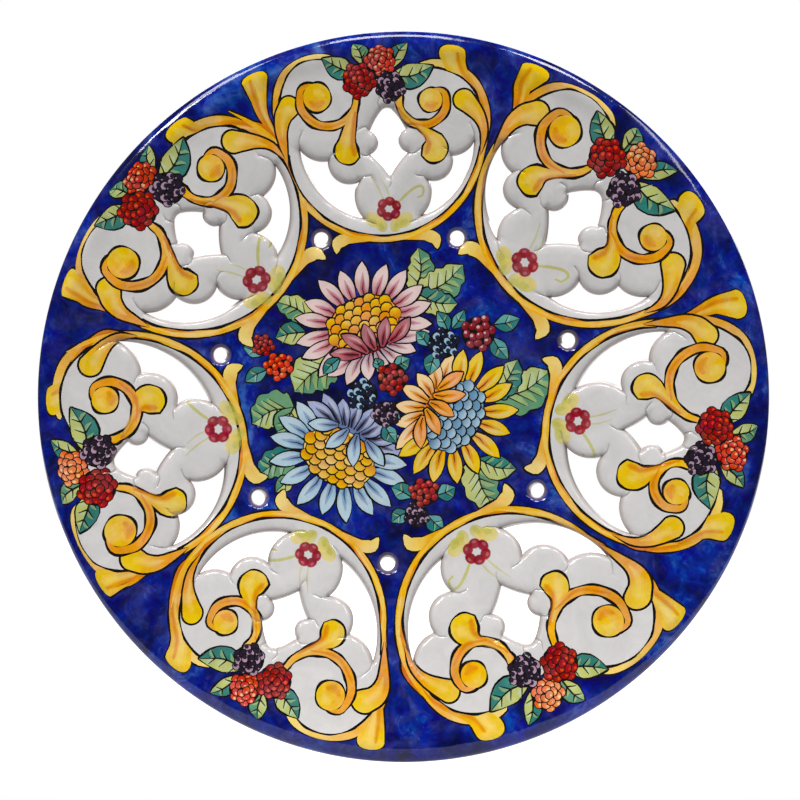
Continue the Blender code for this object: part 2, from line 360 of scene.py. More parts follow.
def placed(points, clock, distance, scale=1.0):
    """Points drawn with x across and y outward, laid on the plate in a clock direction."""
    a = math.radians(clock)
    outward, across = np.array([math.sin(a), math.cos(a)]), np.array([math.cos(a), -math.sin(a)])
    p = np.atleast_2d(points)
    return np.array(PATTERN_CENTRE) + outward * distance + scale * (p[:, :1] * across + p[:, 1:] * outward)


def laid(points, m):
    """Points in a medallion's radii, on the plate."""
    return placed(points, m.clock, m.distance, m.radius)


def medallion_cuts(m):
    """A medallion's middle cut, a peaked lozenge, and its side cuts, round outside with two bites inside."""
    return [chain(eye_corners(*m.eye), EYE_BULGES, EYE_STEPS)] + [
        chain(crescent_corners(*tips), CRESCENT_BULGES, CRESCENT_STEPS) * (math.copysign(1, tips[0]), 1)
        for tips in (m.left, m.right)]


def medallion_grooves(m):
    """The knife lines past the corners of a medallion's cuts: each corner, and two points on from it."""
    paths = []

    def add(side, corner, steps):
        corner, mirror = np.array(corner), np.array([side, 1])
        paths.append([corner] + [corner + step * mirror for step in steps])

    corners = eye_corners(*m.eye)
    add(1, corners[0], EYE_FOOT_GROOVE)
    for side, order in ((-1, (6, 5, 4)), (1, (1, 2, 3))):
        for k, steps in zip(order, EYE_GROOVES):
            add(side, corners[k], steps)
    for tips in (m.left, m.right):
        side = math.copysign(1, tips[0])
        corners = np.array(crescent_corners(*tips)) * (side, 1)
        for k, steps in zip((1, 2, 3, 0), CRESCENT_GROOVES):
            add(side, corners[k], steps)
    return paths


def grooves():
    """Short lines that the knife left in the clay past the corners of the cuts, as paths on the plate."""
    return [spline(laid(path, m), GROOVE_STEP) for m in MEDALLIONS for path in medallion_grooves(m)]


def cuts():
    """Every opening's outline on the plate."""
    round_hole = disc((0, 0), ROUND_HOLE_RADIUS, ROUND_HOLE_STEPS)
    return ([ccw(laid(outline, m)) for m in MEDALLIONS for outline in medallion_cuts(m)]
            + [placed(round_hole, clock, distance) for clock, distance in ROUND_HOLES])


# ---------------------------------------------------------------- figures, in any unit
LEAF_WIDTHS = (0.08, 0.66, 1.0, 0.94, 0.62, 0.05)
LOBED_WIDTHS = (
    0.10, 0.62, 0.80, 0.70, 0.82, 1.0, 0.96, 0.84, 0.94, 0.96, 0.78, 0.66, 0.72, 0.56, 0.28, 0.05)
PETAL_WIDTHS = (0.26, 0.58, 0.88, 1.0, 0.96, 0.68, 0.10)
GOLDEN_ANGLE = 137.5


def stroke(path, widths, colour, alpha=1.0, step=None):
    """A brush stroke of one colour."""
    length = sum(norm(np.subtract(b, a)) for a, b in zip(path[:-1], path[1:]))
    return Shape(ccw(ribbon(path, widths, step or length / 7)), flat(colour), alpha)


def soft_stroke(path, widths, colour, alpha, step):
    """Two strokes one inside the other, so that the colour fades toward its edge."""
    inner = scaled(0.5, *widths)
    return [stroke(path, widths, colour, alpha * 0.5, step), stroke(path, inner, colour, alpha * 0.6, step)]


def spot(centre, radius, steps, colour, alpha=1.0, squash=1.0, turn=0.0):
    """A round dab of one colour."""
    return Shape(disc(centre, radius, steps, squash, turn), flat(colour), alpha)


def inked(outline, wash, line, phase):
    """A filled outline inside a brush line."""
    outline = ccw(outline)
    return [Shape(grown(outline, line, phase), flat(INK), 1), Shape(outline, wash, 1)]


def leaf(base, tip, half_width, sunny, shady, line, bend, side, veins, profile=LEAF_WIDTHS):
    """A pointed leaf, one half light and one dark, with an inked outline and veins."""
    base, tip = np.array(base, float), np.array(tip, float)
    along = tip - base
    across = np.array([along[1], -along[0]])
    length = norm(along)
    path = (base, (base + tip) / 2 + across * bend, tip)
    step = length / (5 + len(profile))
    body = ribbon(path, scaled(half_width, *profile), step)
    out = inked(body, Wash(sunny, GREEN, (base + tip) / 2, tip + along), line, length * 90)
    spine = spline(path, step)
    half = np.interp(np.linspace(0, 1, len(spine)), np.linspace(0, 1, len(profile)), profile) * half_width
    edge = spine + normals(spine) * half[:, None] * side
    out.append(Shape(ccw(np.vstack([spine, edge[::-1]])), Wash(shady, TEAL, base, tip + along), 0.9))
    for k in range(veins):
        root = spine[int((k + 1.0) / (veins + 1.4) * (len(spine) - 1))]
        reach = half_width * (0.95 - 0.13 * k)
        for turn in (1, -1):
            end = root + (across / length * turn + along / length * 0.8) * reach * 0.8
            dab = (root + along * 0.05, (root + end) / 2 + along * 0.07, end + along * 0.03)
            light = LEAF_YELLOW if turn == side else MINT
            out.append(stroke(dab, scaled(half_width, 0.08, 0.15, 0.05), light, 0.55, reach * 0.6))
            out.append(stroke((root, end), scaled(line, 0.52, 0.22), INK, 0.9, reach))
    out.append(stroke(path, scaled(line, 0.6, 0.5, 0.2), INK, 0.9, step * 1.6))
    return out


def berry(centre, radius, light, dark, glow, line, count, turn):
    """A cluster of drupelets: bright with a pale touch where glow is given, else dark and pale by turns."""
    centre = np.array(centre, float)
    out = [spot(centre, radius * 0.90, 18, INK)]
    size = radius * 0.225
    corner = np.array([-size, size])
    for k in reversed(range(count)):
        bearing = GOLDEN_ANGLE * k + turn
        at = centre + polar(bearing, radius * 0.86 * math.sqrt((k + 0.4) / count))
        tilt = math.radians(bearing + 90)
        shaded = glow or k % 2
        body = Wash(light, dark if glow else light, at + corner, at - corner) if shaded else flat(dark)
        out.append(spot(at, size + line, 9, INK, 1, 0.86, tilt))
        out.append(Shape(disc(at, size, 9, 0.82, tilt), body, 1))
        if glow:
            out.append(spot(at + 0.30 * corner, size * (0.28 + 0.16 * math.sin(k)), 6, glow, 0.8))
        elif shaded:
            out.append(spot(at - 0.30 * corner, size * 0.62, 8, dark, 0.95))
        else:
            out.append(spot(at + 0.45 * corner, size * 0.22, 5, light, 0.9))
    return out


def petal(base, tip, half_width, colours, line, bend):
    """A pointed petal, darker along its heart and paler down one edge; colours are base, tip and vein."""
    first, second, vein = colours
    along = tip - base
    across = np.array([along[1], -along[0]])
    length = norm(along)
    middle = (base + tip) / 2 + across * bend
    body = ribbon((base, middle, tip), scaled(half_width, *PETAL_WIDTHS), length / 7)
    out = inked(body, Wash(first, second, base, base + 0.6 * along), line, base[0] * 60)
    edge = across / length * half_width * 0.55
    out.append(stroke((base + along * 0.3 + edge * 0.9, middle + edge, base + along * 0.84 + edge * 0.45),
                      scaled(half_width, 0.08, 0.26, 0.05), WHITE, 0.38, length / 5))
    heart = base + along * 0.3 + across * bend
    for start, end, widths, colour, alpha, pieces in (
            (0.06, 0.72, scaled(half_width, 0.30, 0.42, 0.06), vein, 0.42, 5),
            (0.06, 0.56, scaled(half_width, 0.12, 0.18, 0.04), vein, 0.75, 5),
            (0.04, 0.46, scaled(line, 0.4, 0.4, 0.15), INK, 0.85, 4)):
        path = (base + along * start, heart, base + along * end)
        out.append(stroke(path, widths, colour, alpha, length / pieces))
    return out


def small_blossom(centre, reach, petals, turn):
    """Soft dark-red dabs round a white middle."""
    out = []
    for k in range(petals):
        bearing = 360 * k / petals + turn
        at = centre + polar(bearing, reach * (1 + 0.06 * math.sin(2.7 * k + turn)))
        tilt = math.radians(bearing + 90)
        dark = Wash(BLOSSOM, DARK_RED, at + (0, reach), at - (0, reach))
        out.append(spot(at, reach * 0.72, 12, DARK_RED, 0.5, 0.84, tilt))
        out.append(Shape(disc(at, reach * 0.64, 12, 0.84, tilt), dark, 0.85))
        out.append(spot(at + polar(bearing, 0.2 * reach), reach * 0.26, 8, PINK, 0.3, 0.7, tilt))
    out.append(spot(centre, reach * 0.36, 10, WHITE, 0.9))
    return out


# ---------------------------------------------------------------- the medallions, in their radii
STEP = 0.026       # how finely the drawing's curves are sampled
LINE = 0.020       # how far the ink stands outside the scrolls in front
THIN = 0.016       # and outside the band and the leaves of scroll behind
HALO = 2.4         # reach of the light cobalt round the outer leaves, over that of their ink
BAND_RADIUS = 1.026
BAND_HALF_WIDTH = 0.036
FIELD_RADIUS = 0.985
WARP_START = -0.6
WARP_SPAN = 0.8

# A scroll's side, the radii of its ball and of its bulb, how far its loop passes outside the ball, and its
# foot's place from the berries, drawn with the middle of the medallion to the left
Scroll = namedtuple("Scroll", "side ball bulb reach foot")
LEFT_SCROLL = Scroll(-1, 0.138, 0.112, 0.182, (0.21, -0.20))
RIGHT_SCROLL = Scroll(1, 0.116, 0.122, 0.160, (0.23, -0.20))


def warped(points, m):
    """The common medallion drawing bent to one medallion's own proportions."""
    p = np.array(points, dtype=float)
    rise = np.clip((p[:, 1] - WARP_START) / WARP_SPAN, 0, 1)
    rise = rise * rise * (3 - 2 * rise)
    widen = np.where(p[:, 0] < 0, m.widen_left, m.widen_right)
    x = p[:, 0] * (1 + (widen - 1) * rise)
    y = p[:, 1] + m.lift * rise
    return laid(np.stack([x, y], axis=1), m)


def field_outline():
    """The white field: round below, and a lobe over each scroll above."""
    turns = np.radians(np.linspace(190, 350, 74))
    low = FIELD_RADIUS * np.stack([np.cos(turns), np.sin(turns)], axis=1)
    top = spline([
        (0.975, -0.16), (1.0, 0.05), (0.97, 0.25), (0.87, 0.43), (0.70, 0.55), (0.48, 0.60), (0.2, 0.55),
        (-0.1, 0.52), (-0.38, 0.60), (-0.48, 0.68), (-0.62, 0.735), (-0.78, 0.73), (-0.93, 0.64),
        (-1.03, 0.48), (-1.08, 0.28), (-1.06, 0.05), (-0.985, -0.16)], STEP)
    return np.vstack([low, top])


def band_outline():
    """The band round the foot of the field, thinning out as it climbs either side."""
    widths = [0.003, 0.022] + [BAND_HALF_WIDTH] * 13 + [0.022, 0.003]
    return ribbon([polar(t, BAND_RADIUS) for t in np.linspace(161, 379, len(widths))], widths, 0.05)


def along_band(side, first, last):
    """Points up one side of the band, so that what grows out of it starts inside it."""
    return [polar(t, BAND_RADIUS) * (side, 1) for t in np.linspace(first, last, 3)]


def arches():
    """The strips of scroll over the white field, left and right."""
    left = [(-1.075, 0.0), (-1.13, 0.24), (-1.09, 0.48), (-0.97, 0.66), (-0.79, 0.77), (-0.60, 0.775),
            (-0.45, 0.70), (-0.38, 0.60)]
    right = [(1.05, 0.05), (1.02, 0.28), (0.92, 0.47), (0.74, 0.60), (0.55, 0.655), (0.42, 0.64)]
    return (ribbon(along_band(-1, -32, -14) + left,
                   (0.015, 0.02, 0.03, 0.030, 0.030, 0.034, 0.040, 0.046, 0.04, 0.02), STEP),
            ribbon(along_band(1, -32, -14) + right,
                   (0.015, 0.02, 0.03, 0.030, 0.032, 0.036, 0.042, 0.038, 0.02), STEP))


def leaf_spine(side, head):
    """The middle line of an outer leaf, from the band up and then straight out into its head."""
    head = np.array(head, float)
    knee = np.array([side * 1.06, 0.0])
    rise = head - knee
    elbow = knee + 0.42 * rise + (0.07 * side * rise[1], 0.0)
    return [knee, elbow, head + (-0.15 * rise[0], -0.17), head]


def outer_leaf(side, head):
    """A tapering leaf of scroll from the band out to its broad head."""
    path = along_band(side, -36, -12) + leaf_spine(side, head)
    return ribbon(path, (0.012, 0.016, 0.022, 0.028, 0.042, 0.076, 0.134), STEP)


def inner_bulbs():
    """The inked bulbs that turn in over the white field from either side of the band, and their lights."""
    out, lights = [], []
    for path, widths, start, end, light, light_widths in (
            (((-0.985, -0.30), (-1.04, -0.10), (-1.075, 0.06), (-1.055, 0.19), (-0.985, 0.285)),
             (0.004, 0.026, 0.048, 0.078, 0.104), (-1.03, 0.0), (-0.98, 0.30),
             ((-1.06, 0.0), (-1.06, 0.14), (-0.99, 0.27)), (0.008, 0.04, 0.05)),
            (((0.985, -0.26), (1.02, -0.06), (0.985, 0.08), (0.91, 0.19), (0.83, 0.275)),
             (0.004, 0.022, 0.040, 0.068, 0.099), (1.03, 0.0), (0.83, 0.29),
             ((1.0, 0.0), (0.94, 0.15), (0.85, 0.25)), (0.008, 0.035, 0.045))):
        ink = [0.006] + [width + LINE for width in widths[1:]]
        out.append(Shape(ccw(ribbon(path, ink, STEP)), flat(INK), 1))
        out.append(Shape(ccw(ribbon(path, widths, STEP)), Wash(ORANGE, YELLOW, start, end), 1))
        lights += soft_stroke(light, light_widths, PALE_YELLOW, 0.6, 0.07)
    return out + lights


def curl(side):
    """A horn below the band, ending in a turned-down tip."""
    horn = [(side * x, y) for x, y in ((0.16, -1.035), (0.29, -1.02), (0.39, -1.01), (0.47, -1.035))]
    tip = [(side * x, y) for x, y in ((0.44, -1.02), (0.50, -1.055), (0.515, -1.14))]
    return ribbon(horn, (0.012, 0.03, 0.050, 0.062), STEP), ribbon(tip, (0.06, 0.058, 0.020), STEP)


def scroll_shading(on_loop, on_ball, on_bulb, start):
    """Soft light and dark strokes on a scroll's ball, bulb and loop."""
    out = []
    for path, widths, colour, alpha, step in (
            ([on_ball(t, 0.62) for t in (-150, -90, -30)], (0.02, 0.06, 0.02), DEEP_ORANGE, 0.5, 0.05),
            ([on_ball(t, 0.45) for t in (60, 110, 160)], (0.03, 0.06, 0.03), PALE_YELLOW, 0.6, 0.05),
            ([on_loop(start + 28, 0.022), on_bulb(-0.6, 0.9), on_bulb(-0.72, -0.3)], (0.012, 0.032, 0.03),
             DEEP_ORANGE, 0.7, 0.05),
            ([on_loop(start + 34), on_bulb(0.0, 0.6), on_bulb(0.25, -0.2)], (0.01, 0.03, 0.05), PALE_YELLOW,
             0.6, 0.05),
            ([on_loop(t, 0.012) for t in (235, 280, 325)], (0.008, 0.020, 0.010), DEEP_ORANGE, 0.6, 0.06)):
        out += soft_stroke(path, widths, colour, alpha, step)
    return out


def scroll(kind, ball, bulb, berries, phase):
    """A scroll from under the berries round to its ball, with a bulb hanging from its stem."""
    flip = np.array([kind.side, 1])
    ball, bulb, foot = ball * flip, bulb * flip, berries * flip + kind.foot
    reach = ball[0] + kind.reach
    drop = foot[1] - ball[1]
    middle = (reach**2 - foot[0] ** 2 - drop**2) / (2 * (reach - foot[0]))
    loop_radius = reach - middle

    def on_loop(degrees, offset=0.0):
        return np.array([middle, ball[1]]) + polar(degrees, loop_radius + offset)

    def on_ball(degrees, share, past=0.0):
        return ball + polar(degrees, kind.ball * share + past)

    def on_bulb(x, y):
        return bulb + kind.bulb * np.array([x, y])

    start = math.degrees(math.atan2(drop, foot[0] - middle)) % 360
    band_path = [on_loop(t) for t in np.linspace(start, 345, 9)]
    band_path += [on_ball(24, 1, 0.036), on_ball(55, 1, 0.006), on_ball(90, 1, -0.022)]
    band = ribbon(
        band_path, (0.022, 0.027, 0.031, 0.034, 0.036, 0.036, 0.037, 0.036, 0.032, 0.022, 0.006), STEP)
    inner = spline([on_loop(start, 0.024), on_loop(start + 24, 0.032)]
                   + [on_bulb(*at) for at in ((-0.80, 1.1), (-0.95, 0.2), (-1.08, -0.52))], STEP)
    belly = spline([on_bulb(*at) for at in ((-1.08, -0.52), (-0.60, -0.98), (0.0, -1.08), (0.64, -0.86),
                                            (1.0, -0.2), (0.92, 0.5), (0.56, 1.05))], STEP)
    stem = np.vstack([inner[:-1], belly, [on_loop(start + 52, 0.01), on_loop(start + 20, -0.01)]])
    parts = (stem, band, disc(ball, kind.ball, 36))
    washes = (Wash(ORANGE, YELLOW, on_loop(start + 30), bulb),
              Wash(AMBER, ORANGE, on_loop(start), on_loop(345)),
              Wash(YELLOW, AMBER, on_ball(135, 1), on_ball(-45, 1)))
    out = [Shape(grown(o, LINE, phase + k), flat(INK), 1) for k, o in enumerate(parts)]
    out += [Shape(ccw(o), wash, 1) for o, wash in zip(parts, washes)]
    out += scroll_shading(on_loop, on_ball, on_bulb, start)
    return mapped(out, lambda points: points * flip)


def berry_spray(centre, index):
    """Three berries and four leaves over the field's top edge."""
    sway = 0.03 * math.sin(2.1 * index)
    warm = ((CORAL, RED), (PEACH, CORAL))[index % 2]
    out = []
    for base, tip, half_width, shady, bend, side, veins in (
            ((0.15, 0.06), (0.33, 0.34 + sway), 0.078, TEAL, -0.05, -1, 2),
            ((-0.12, 0.10), (-0.22 + sway, 0.38), 0.084, GREEN, 0.06, 1, 2),
            ((0.14, -0.02), (0.57, 0.06 + sway), 0.118, TEAL, 0.10, 1, 3),
            ((-0.20, 0.02), (-0.53, 0.19 - sway), 0.104, TEAL, -0.05, -1, 3)):
        out += leaf(centre + base, centre + tip, half_width, LEAF_YELLOW, shady, THIN, bend, side, veins)
    for place, radius, colours, count, turn in (
            ((0.05, 0.15), 0.168, (*warm, PALE_PEACH), 20, 0),
            ((-0.175, -0.04), 0.184, (RED, DARK_RED, CORAL), 21, 30),
            ((0.14, -0.115), 0.164, (LILAC, PLUM, None), 18, 75)):
        out += berry(centre + place, radius, *colours, THIN * 0.6, count, 40 * index + turn)
    return out


def faded_spray(centre):
    """The pale blossom, leaves and tendrils at the foot of the field."""
    out = []
    for path, widths, alpha, step in (
            (((-0.04, 0.07), (-0.10, 0.22), (-0.17, 0.34)), (0.006, 0.010, 0.003), 0.40, None),
            (((0.02, 0.08), (-0.01, 0.20), (-0.07, 0.31)), (0.006, 0.009, 0.003), 0.35, None),
            (((0.09, 0.05), (0.20, 0.15), (0.30, 0.21), (0.36, 0.20), (0.35, 0.12), (0.30, 0.10)),
             (0.010, 0.015, 0.014, 0.014, 0.012, 0.010), 0.60, 0.04)):
        out.append(stroke([centre + at for at in path], widths, OLIVE, alpha, step))
    for x, y, r, turn in ((-0.165, -0.10, 0.095, 2.6), (-0.085, -0.155, 0.080, 2.0),
                          (0.065, -0.160, 0.082, 1.2), (0.150, -0.12, 0.100, 0.5)):
        at, edge = centre + (x, y), np.array([0, r])
        out.append(Shape(disc(at, r, 14, 0.74, turn), Wash(OLIVE, PALE_YELLOW, at - edge, at + edge), 0.70))
        out.append(spot(at - 0.25 * edge, 0.5 * r, 9, OLIVE, 0.5, 0.6, turn))
    return out + small_blossom(centre, 0.080, 6, 20)


def band_growth(m):
    """What grows out of a medallion's band: outlines on the plate, their two colours, their washes' ends."""
    left, right = arches()
    out = [
        (warped(left, m), ORANGE, PALE_YELLOW, (-1.12, 0.1), (-0.55, 0.8)),
        (warped(right, m), ORANGE, PALE_YELLOW, (1.05, 0.1), (0.5, 0.65)),
        (laid(outer_leaf(-1, m.left_head), m), DEEP_ORANGE, YELLOW, (-1.08, 0.0), m.left_head),
        (laid(outer_leaf(1, m.right_head), m), DEEP_ORANGE, YELLOW, (1.04, 0.0), m.right_head)]
    for side in (-1, 1):
        ends = (side * 0.15, -1.03), (side * 0.5, -1.05)
        out += [(laid(part, m), ORANGE, PALE_YELLOW, *ends) for part in curl(side)]
    return out


def lower_coat(m, index):
    """The ink under the band and all that grows out of it, and thin cobalt round the outer leaves."""
    growth = [outline for outline, *_ in band_growth(m)]
    thin = THIN * m.radius
    out = [Shape(grown(growth[k], HALO * thin, index + k), flat(COBALT_LIGHT), 0.4) for k in (2, 3)]
    out += [Shape(grown(outline, thin, index + k), flat(INK), 1) for k, outline in enumerate(growth)]
    out.append(Shape(grown(laid(band_outline(), m), thin, index), flat(INK), 1))
    return out


def middle_coat(m):
    """The band and all that grows out of it in its own colours, with light and dark strokes."""

    def place(points):
        return laid(points, m)

    out = [Shape(ccw(outline), Wash(first, second, *place([start, end])), 1)
           for outline, first, second, start, end in band_growth(m)]
    strokes = []
    for side, head in ((-1, m.left_head), (1, m.right_head)):
        spine = leaf_spine(side, head)
        light = [at - (0.02 * side, 0) for at in spine]
        dark = [at + (0.05 * side * k / 3, 0) for k, at in enumerate(spine)]
        strokes += soft_stroke(light, (0.004, 0.018, 0.034, 0.06), PALE_YELLOW, 0.7, 0.07)
        strokes += soft_stroke(dark, (0.004, 0.012, 0.024, 0.02), DEEP_ORANGE, 0.6, 0.07)
    out += mapped(strokes, place)
    out.append(Shape(ccw(place(band_outline())), flat(AMBER), 1))
    for radius, colour, alpha, spans in (
            (1.040, PALE_YELLOW, 0.6, ((190, 250), (262, 300), (318, 352))),
            (1.006, DEEP_ORANGE, 0.7, ((200, 222), (236, 268), (292, 316), (330, 349)))):
        for start, end in spans:
            path = [polar(t, radius) for t in (start, (start + end) / 2, end)]
            out += mapped([stroke(path, (0.004, 0.020, 0.004), colour, alpha, 0.09)], place)
    return out


def upper_coat(m, index):
    """The white field with its bulbs, scrolls, blossom and berries."""
    berries = np.array(m.berries)
    art = faded_spray(np.array(m.blossom))
    art += scroll(LEFT_SCROLL, np.array(m.left_ball), np.array(m.left_bulb), berries, index)
    art += scroll(RIGHT_SCROLL, np.array(m.right_ball), np.array(m.right_bulb), berries, index + 3)
    art += berry_spray(berries, index)
    out = inked(warped(field_outline(), m), flat(WHITE), LINE * m.radius, index)
    out += mapped(inner_bulbs(), lambda points: warped(points, m))
    return out + mapped(art, lambda points: laid(points, m))


# ---------------------------------------------------------------- the bouquet, in millimetres
MM = 0.001
BRUSH = 0.75                 # how far an ink line stands outside its shape
FINE_BRUSH = 0.8 * BRUSH     # the same round the small teal leaves
BERRY_BRUSH = 0.5 * BRUSH    # and round a berry's drupelets
LOBED_FROM = 4.5             # leaves wider than this have lobes
LEAF_SPREAD = 1.5            # half width of a leaf over its number in the table
TEAL_SPREAD = 1.25
SCALE_ROWS = 6

DAISIES = (
    # where it folds, the way it faces, size, colours of its rim petals, folded petals, back petals and eye,
    # and how many petals of each kind
    ((-14.8, 24.6), 114, 15.2, (MAUVE, PINK, DARK_PINK), (DARK_PINK, MAUVE, DARK_RED),
     (GREY_LILAC, PINK, MAUVE), (YELLOW, ORANGE, DEEP_ORANGE), (13, 5, 7)),
    ((-26.7, -18.4), 241, 15.5, (SKY, PALE_SKY, BLUE_GREY), (BLUE_GREY, PALE_SKY, BLUE_GREY),
     (BLUE_GREY, PERIWINKLE, PLUM), (YELLOW, PALE_YELLOW, DEEP_ORANGE), (12, 4, 8)),
    ((13.7, -2.8), 330, 15.2, (AMBER, YELLOW, DEEP_ORANGE), (ORANGE, PEACH, DEEP_ORANGE),
     (SALMON, PALE_PEACH, DEEP_ORANGE), (PALE_SKY, SKY, STEEL), (12, 5, 7)),
)
GREENISH = (LEAF_YELLOW, GREEN)
TEALISH = (LEAF_YELLOW, TEAL)
DEEP = (GREEN, TEAL)
LEAVES = (
    # base, tip, half width, light and dark, bend, dark side, veins
    ((6, 55), (8, 78), 4.8, GREENISH, 0.1, 1, 3), ((8, 54), (31, 69), 6.2, GREENISH, 0.1, 1, 4),
    ((8, 54), (28, 49), 4.6, TEALISH, 0.1, -1, 3), ((-48, 40), (-67, 50), 4.6, GREENISH, 0.08, -1, 3),
    ((-52, 34), (-67, 31), 4.0, TEALISH, 0.05, 1, 2), ((-35, 17), (-57, 3), 7.5, GREENISH, 0.12, -1, 4),
    ((-58, -6), (-79, -14), 7.0, GREENISH, 0.12, 1, 4), ((-58, -6), (-62, -22), 4.5, GREENISH, 0.1, 1, 3),
    ((-57, -33), (-76, -41), 5.4, DEEP, 0.1, 1, 3), ((-58, -43), (-67, -50), 2.8, GREENISH, 0.05, 1, 1),
    ((48, -1), (77, 13), 8.0, GREENISH, 0.10, 1, 4), ((48, 0), (60, 19), 4.8, TEALISH, 0.05, 1, 3),
    ((39, -33), (48, -59), 6.4, GREENISH, 0.10, -1, 4), ((40, -33), (59, -38), 4.4, TEALISH, 0.10, -1, 3),
)
TEAL_LEAVES = (
    # base, tip, half width
    ((13, 27), (7, 34), 2.8), ((23.5, 35), (18, 44.5), 2.9), ((26, 36), (32, 45.5), 2.6),
    ((48, 38), (61, 41), 3.6), ((47, 31), (55, 20), 3.4), ((17, 23), (14, 12), 3.4),
    ((-12.5, 14.5), (-14.5, 20), 2.2), ((-5, 16), (3, 20), 3.2), ((-9, -5), (-2, -12), 2.8),
    ((-10, -15), (-4, -24), 3.2), ((-74, 22), (-84, 26), 3.0), ((-72, 14), (-83, 8), 3.2),
    ((4, -53), (-6, -48), 3.6), ((18, -52), (27, -48), 3.6), ((2, -61), (-6, -66), 3.2),
    ((13, -63), (21, -70), 3.6), ((-34, 20), (-42, 12), 2.6),
)
BERRIES = (
    # centre, radius, light, dark, glow
    ((-74, 27), 6.4, RED, DARK_RED, CORAL), ((-65.5, 16), 8.3, CORAL, RED, PEACH),
    ((-21.5, 1), 8.9, PALE_BLUE, NIGHT, None), ((-6, 9.5), 9.0, BRICK, DARK_RED, CORAL),
    ((-9.5, -9), 7.8, LILAC, PLUM, None), ((21, 28), 8.9, PALE_BLUE, NIGHT, None),
    ((39.5, 33.5), 10.0, DARK_PINK, DARK_RED, PINK), ((7, -62.5), 7.2, LILAC, PLUM, None),
    ((11, -50.5), 8.3, RED, DARK_RED, CORAL),
)


def daisy_eye(at, size, turn, up, light, other, shade):
    """A daisy's scaly middle, drawn from its upper rows down."""
    out = [spot(at(0, 1.0), 1.30 * size, 40, INK, 1, 0.74, turn),
           spot(at(0, 1.0), 1.26 * size, 40, other, 1, 0.72, turn)]
    for row in range(SCALE_ROWS):
        y = 1.72 - 0.27 * row
        wide = 1.16 * math.sqrt(max(0.0, 1 - ((y - 1.0) / 0.90) ** 2))
        n = max(2, int(round(wide / 0.18)))
        for k in range(n + row % 2):
            middle = at(-wide + 2 * wide * (k + 0.5 * ((row + 1) % 2)) / n, y)
            first = other if (k + row) % 3 > 1 else light
            fill = Wash(first, shade, middle + size * 0.16 * up, middle - size * 0.26 * up)
            out.append(spot(middle, 0.235 * size, 10, INK))
            out.append(Shape(disc(middle - size * 0.026 * up, 0.202 * size, 10), fill, 1))
    return out


def daisy(fold, turn, size, rim, folded, back, eye, counts):
    """A daisy seen from the side: petals round a scaly eye, some folded over in front and some behind."""
    a = math.radians(turn)
    up, across = np.array([math.cos(a), math.sin(a)]), np.array([math.sin(a), -math.cos(a)])
    rim_count, folded_count, back_count = counts

    def at(x, y):
        return np.array(fold) + size * (x * across + y * up)

    out = []
    for k, t in enumerate(np.linspace(-1, 1, back_count)):
        base = np.array([0.66 * t, 0.08 * t * t - 0.02])
        tip = base + polar(270 + 80 * t, 1.0 + 0.22 * t * t + 0.10 * math.sin(2.3 * k))
        out += petal(at(*base), at(*tip), 0.23 * size, back, BRUSH, 0.05 * math.sin(k))
    for k in range(rim_count):
        c, s = polar(-28 + 236 * k / (rim_count - 1))
        base, tip = (1.12 * c, 1.0 + 0.78 * s), (2.42 * c, 1.0 + 2.04 * s + 0.08 * math.sin(3.0 * k))
        out += petal(at(*base), at(*tip), 0.245 * size, rim, BRUSH, 0.04 * math.sin(k))
    out += daisy_eye(at, size, a - math.pi / 2, up, *eye)
    crease = at(-0.80, 0.10), at(0, 0.0), at(0.80, 0.10)
    out.append(stroke(crease, scaled(size, 0.02, 0.07, 0.02), folded[2]))
    for k, t in enumerate(np.linspace(-1, 1, folded_count)):
        base = np.array([0.54 * t, 0.05 * t * t])
        tip = base + polar(90 - 64 * t, 1.02 + 0.08 * math.sin(2.0 * k))
        out += petal(at(*base), at(*tip), 0.21 * size, folded, BRUSH, 0.05 * math.sin(2 * k))
    return out


def bouquet():
    """The flowers, leaves and berries in the middle of the plate, in metres."""
    out = []
    for base, tip, half_width, colours, bend, side, veins in LEAVES:
        profile = LOBED_WIDTHS if half_width > LOBED_FROM else LEAF_WIDTHS
        out += leaf(base, tip, LEAF_SPREAD * half_width, *colours, BRUSH, bend, side, veins, profile)
    for flower in DAISIES:
        out += daisy(*flower)
    for base, tip, half_width in TEAL_LEAVES:
        out += leaf(base, tip, TEAL_SPREAD * half_width, PALE_TEAL, TEAL, FINE_BRUSH, 0.05, 1, 1)
    for k, (centre, radius, *colours) in enumerate(BERRIES):
        out += berry(centre, radius, *colours, BERRY_BRUSH, 15, 50 * k)
    return mapped(out, lambda points: points * MM)


# ---------------------------------------------------------------- the whole painting, in metres
FREE_ZONE = 0.174      # within this radius the paint lies as drawn
LIP_ZONE = 0.013       # and past it, it is squeezed into a ring this wide
HAIR = 0.0001


def kept_off_the_lip(points):
    """Points past the paint's free zone are eased inward, so nothing runs over the lip."""
    radius = norm(points, axis=1)
    eased = FREE_ZONE + LIP_ZONE * np.tanh((radius - FREE_ZONE) / LIP_ZONE)
    return points * (np.where(radius > FREE_ZONE, eased, radius) / np.maximum(radius, SPECK))[:, None]


def groove_shades():
    """Painted shade: a soft grey stroke along each groove, which also stands for the glaze lying thin there.
    """
    return [stroke(path, (0.0005, 0.0004, 0.0001), SHADE, 0.4, 0.0012) for path in grooves()]


def simplified(outline):
    """The outline without the points that lie within a hair of the line between their neighbours."""
    for _ in range(2):
        before = np.roll(outline, 1, axis=0)
        chord = np.roll(outline, -1, axis=0) - before
        offset = outline - before
        twice_area = np.abs(chord[:, 0] * offset[:, 1] - chord[:, 1] * offset[:, 0])
        spare = twice_area < HAIR * norm(chord, axis=1)
        spare[1::2] = False
        outline = outline[~spare]
    return outline


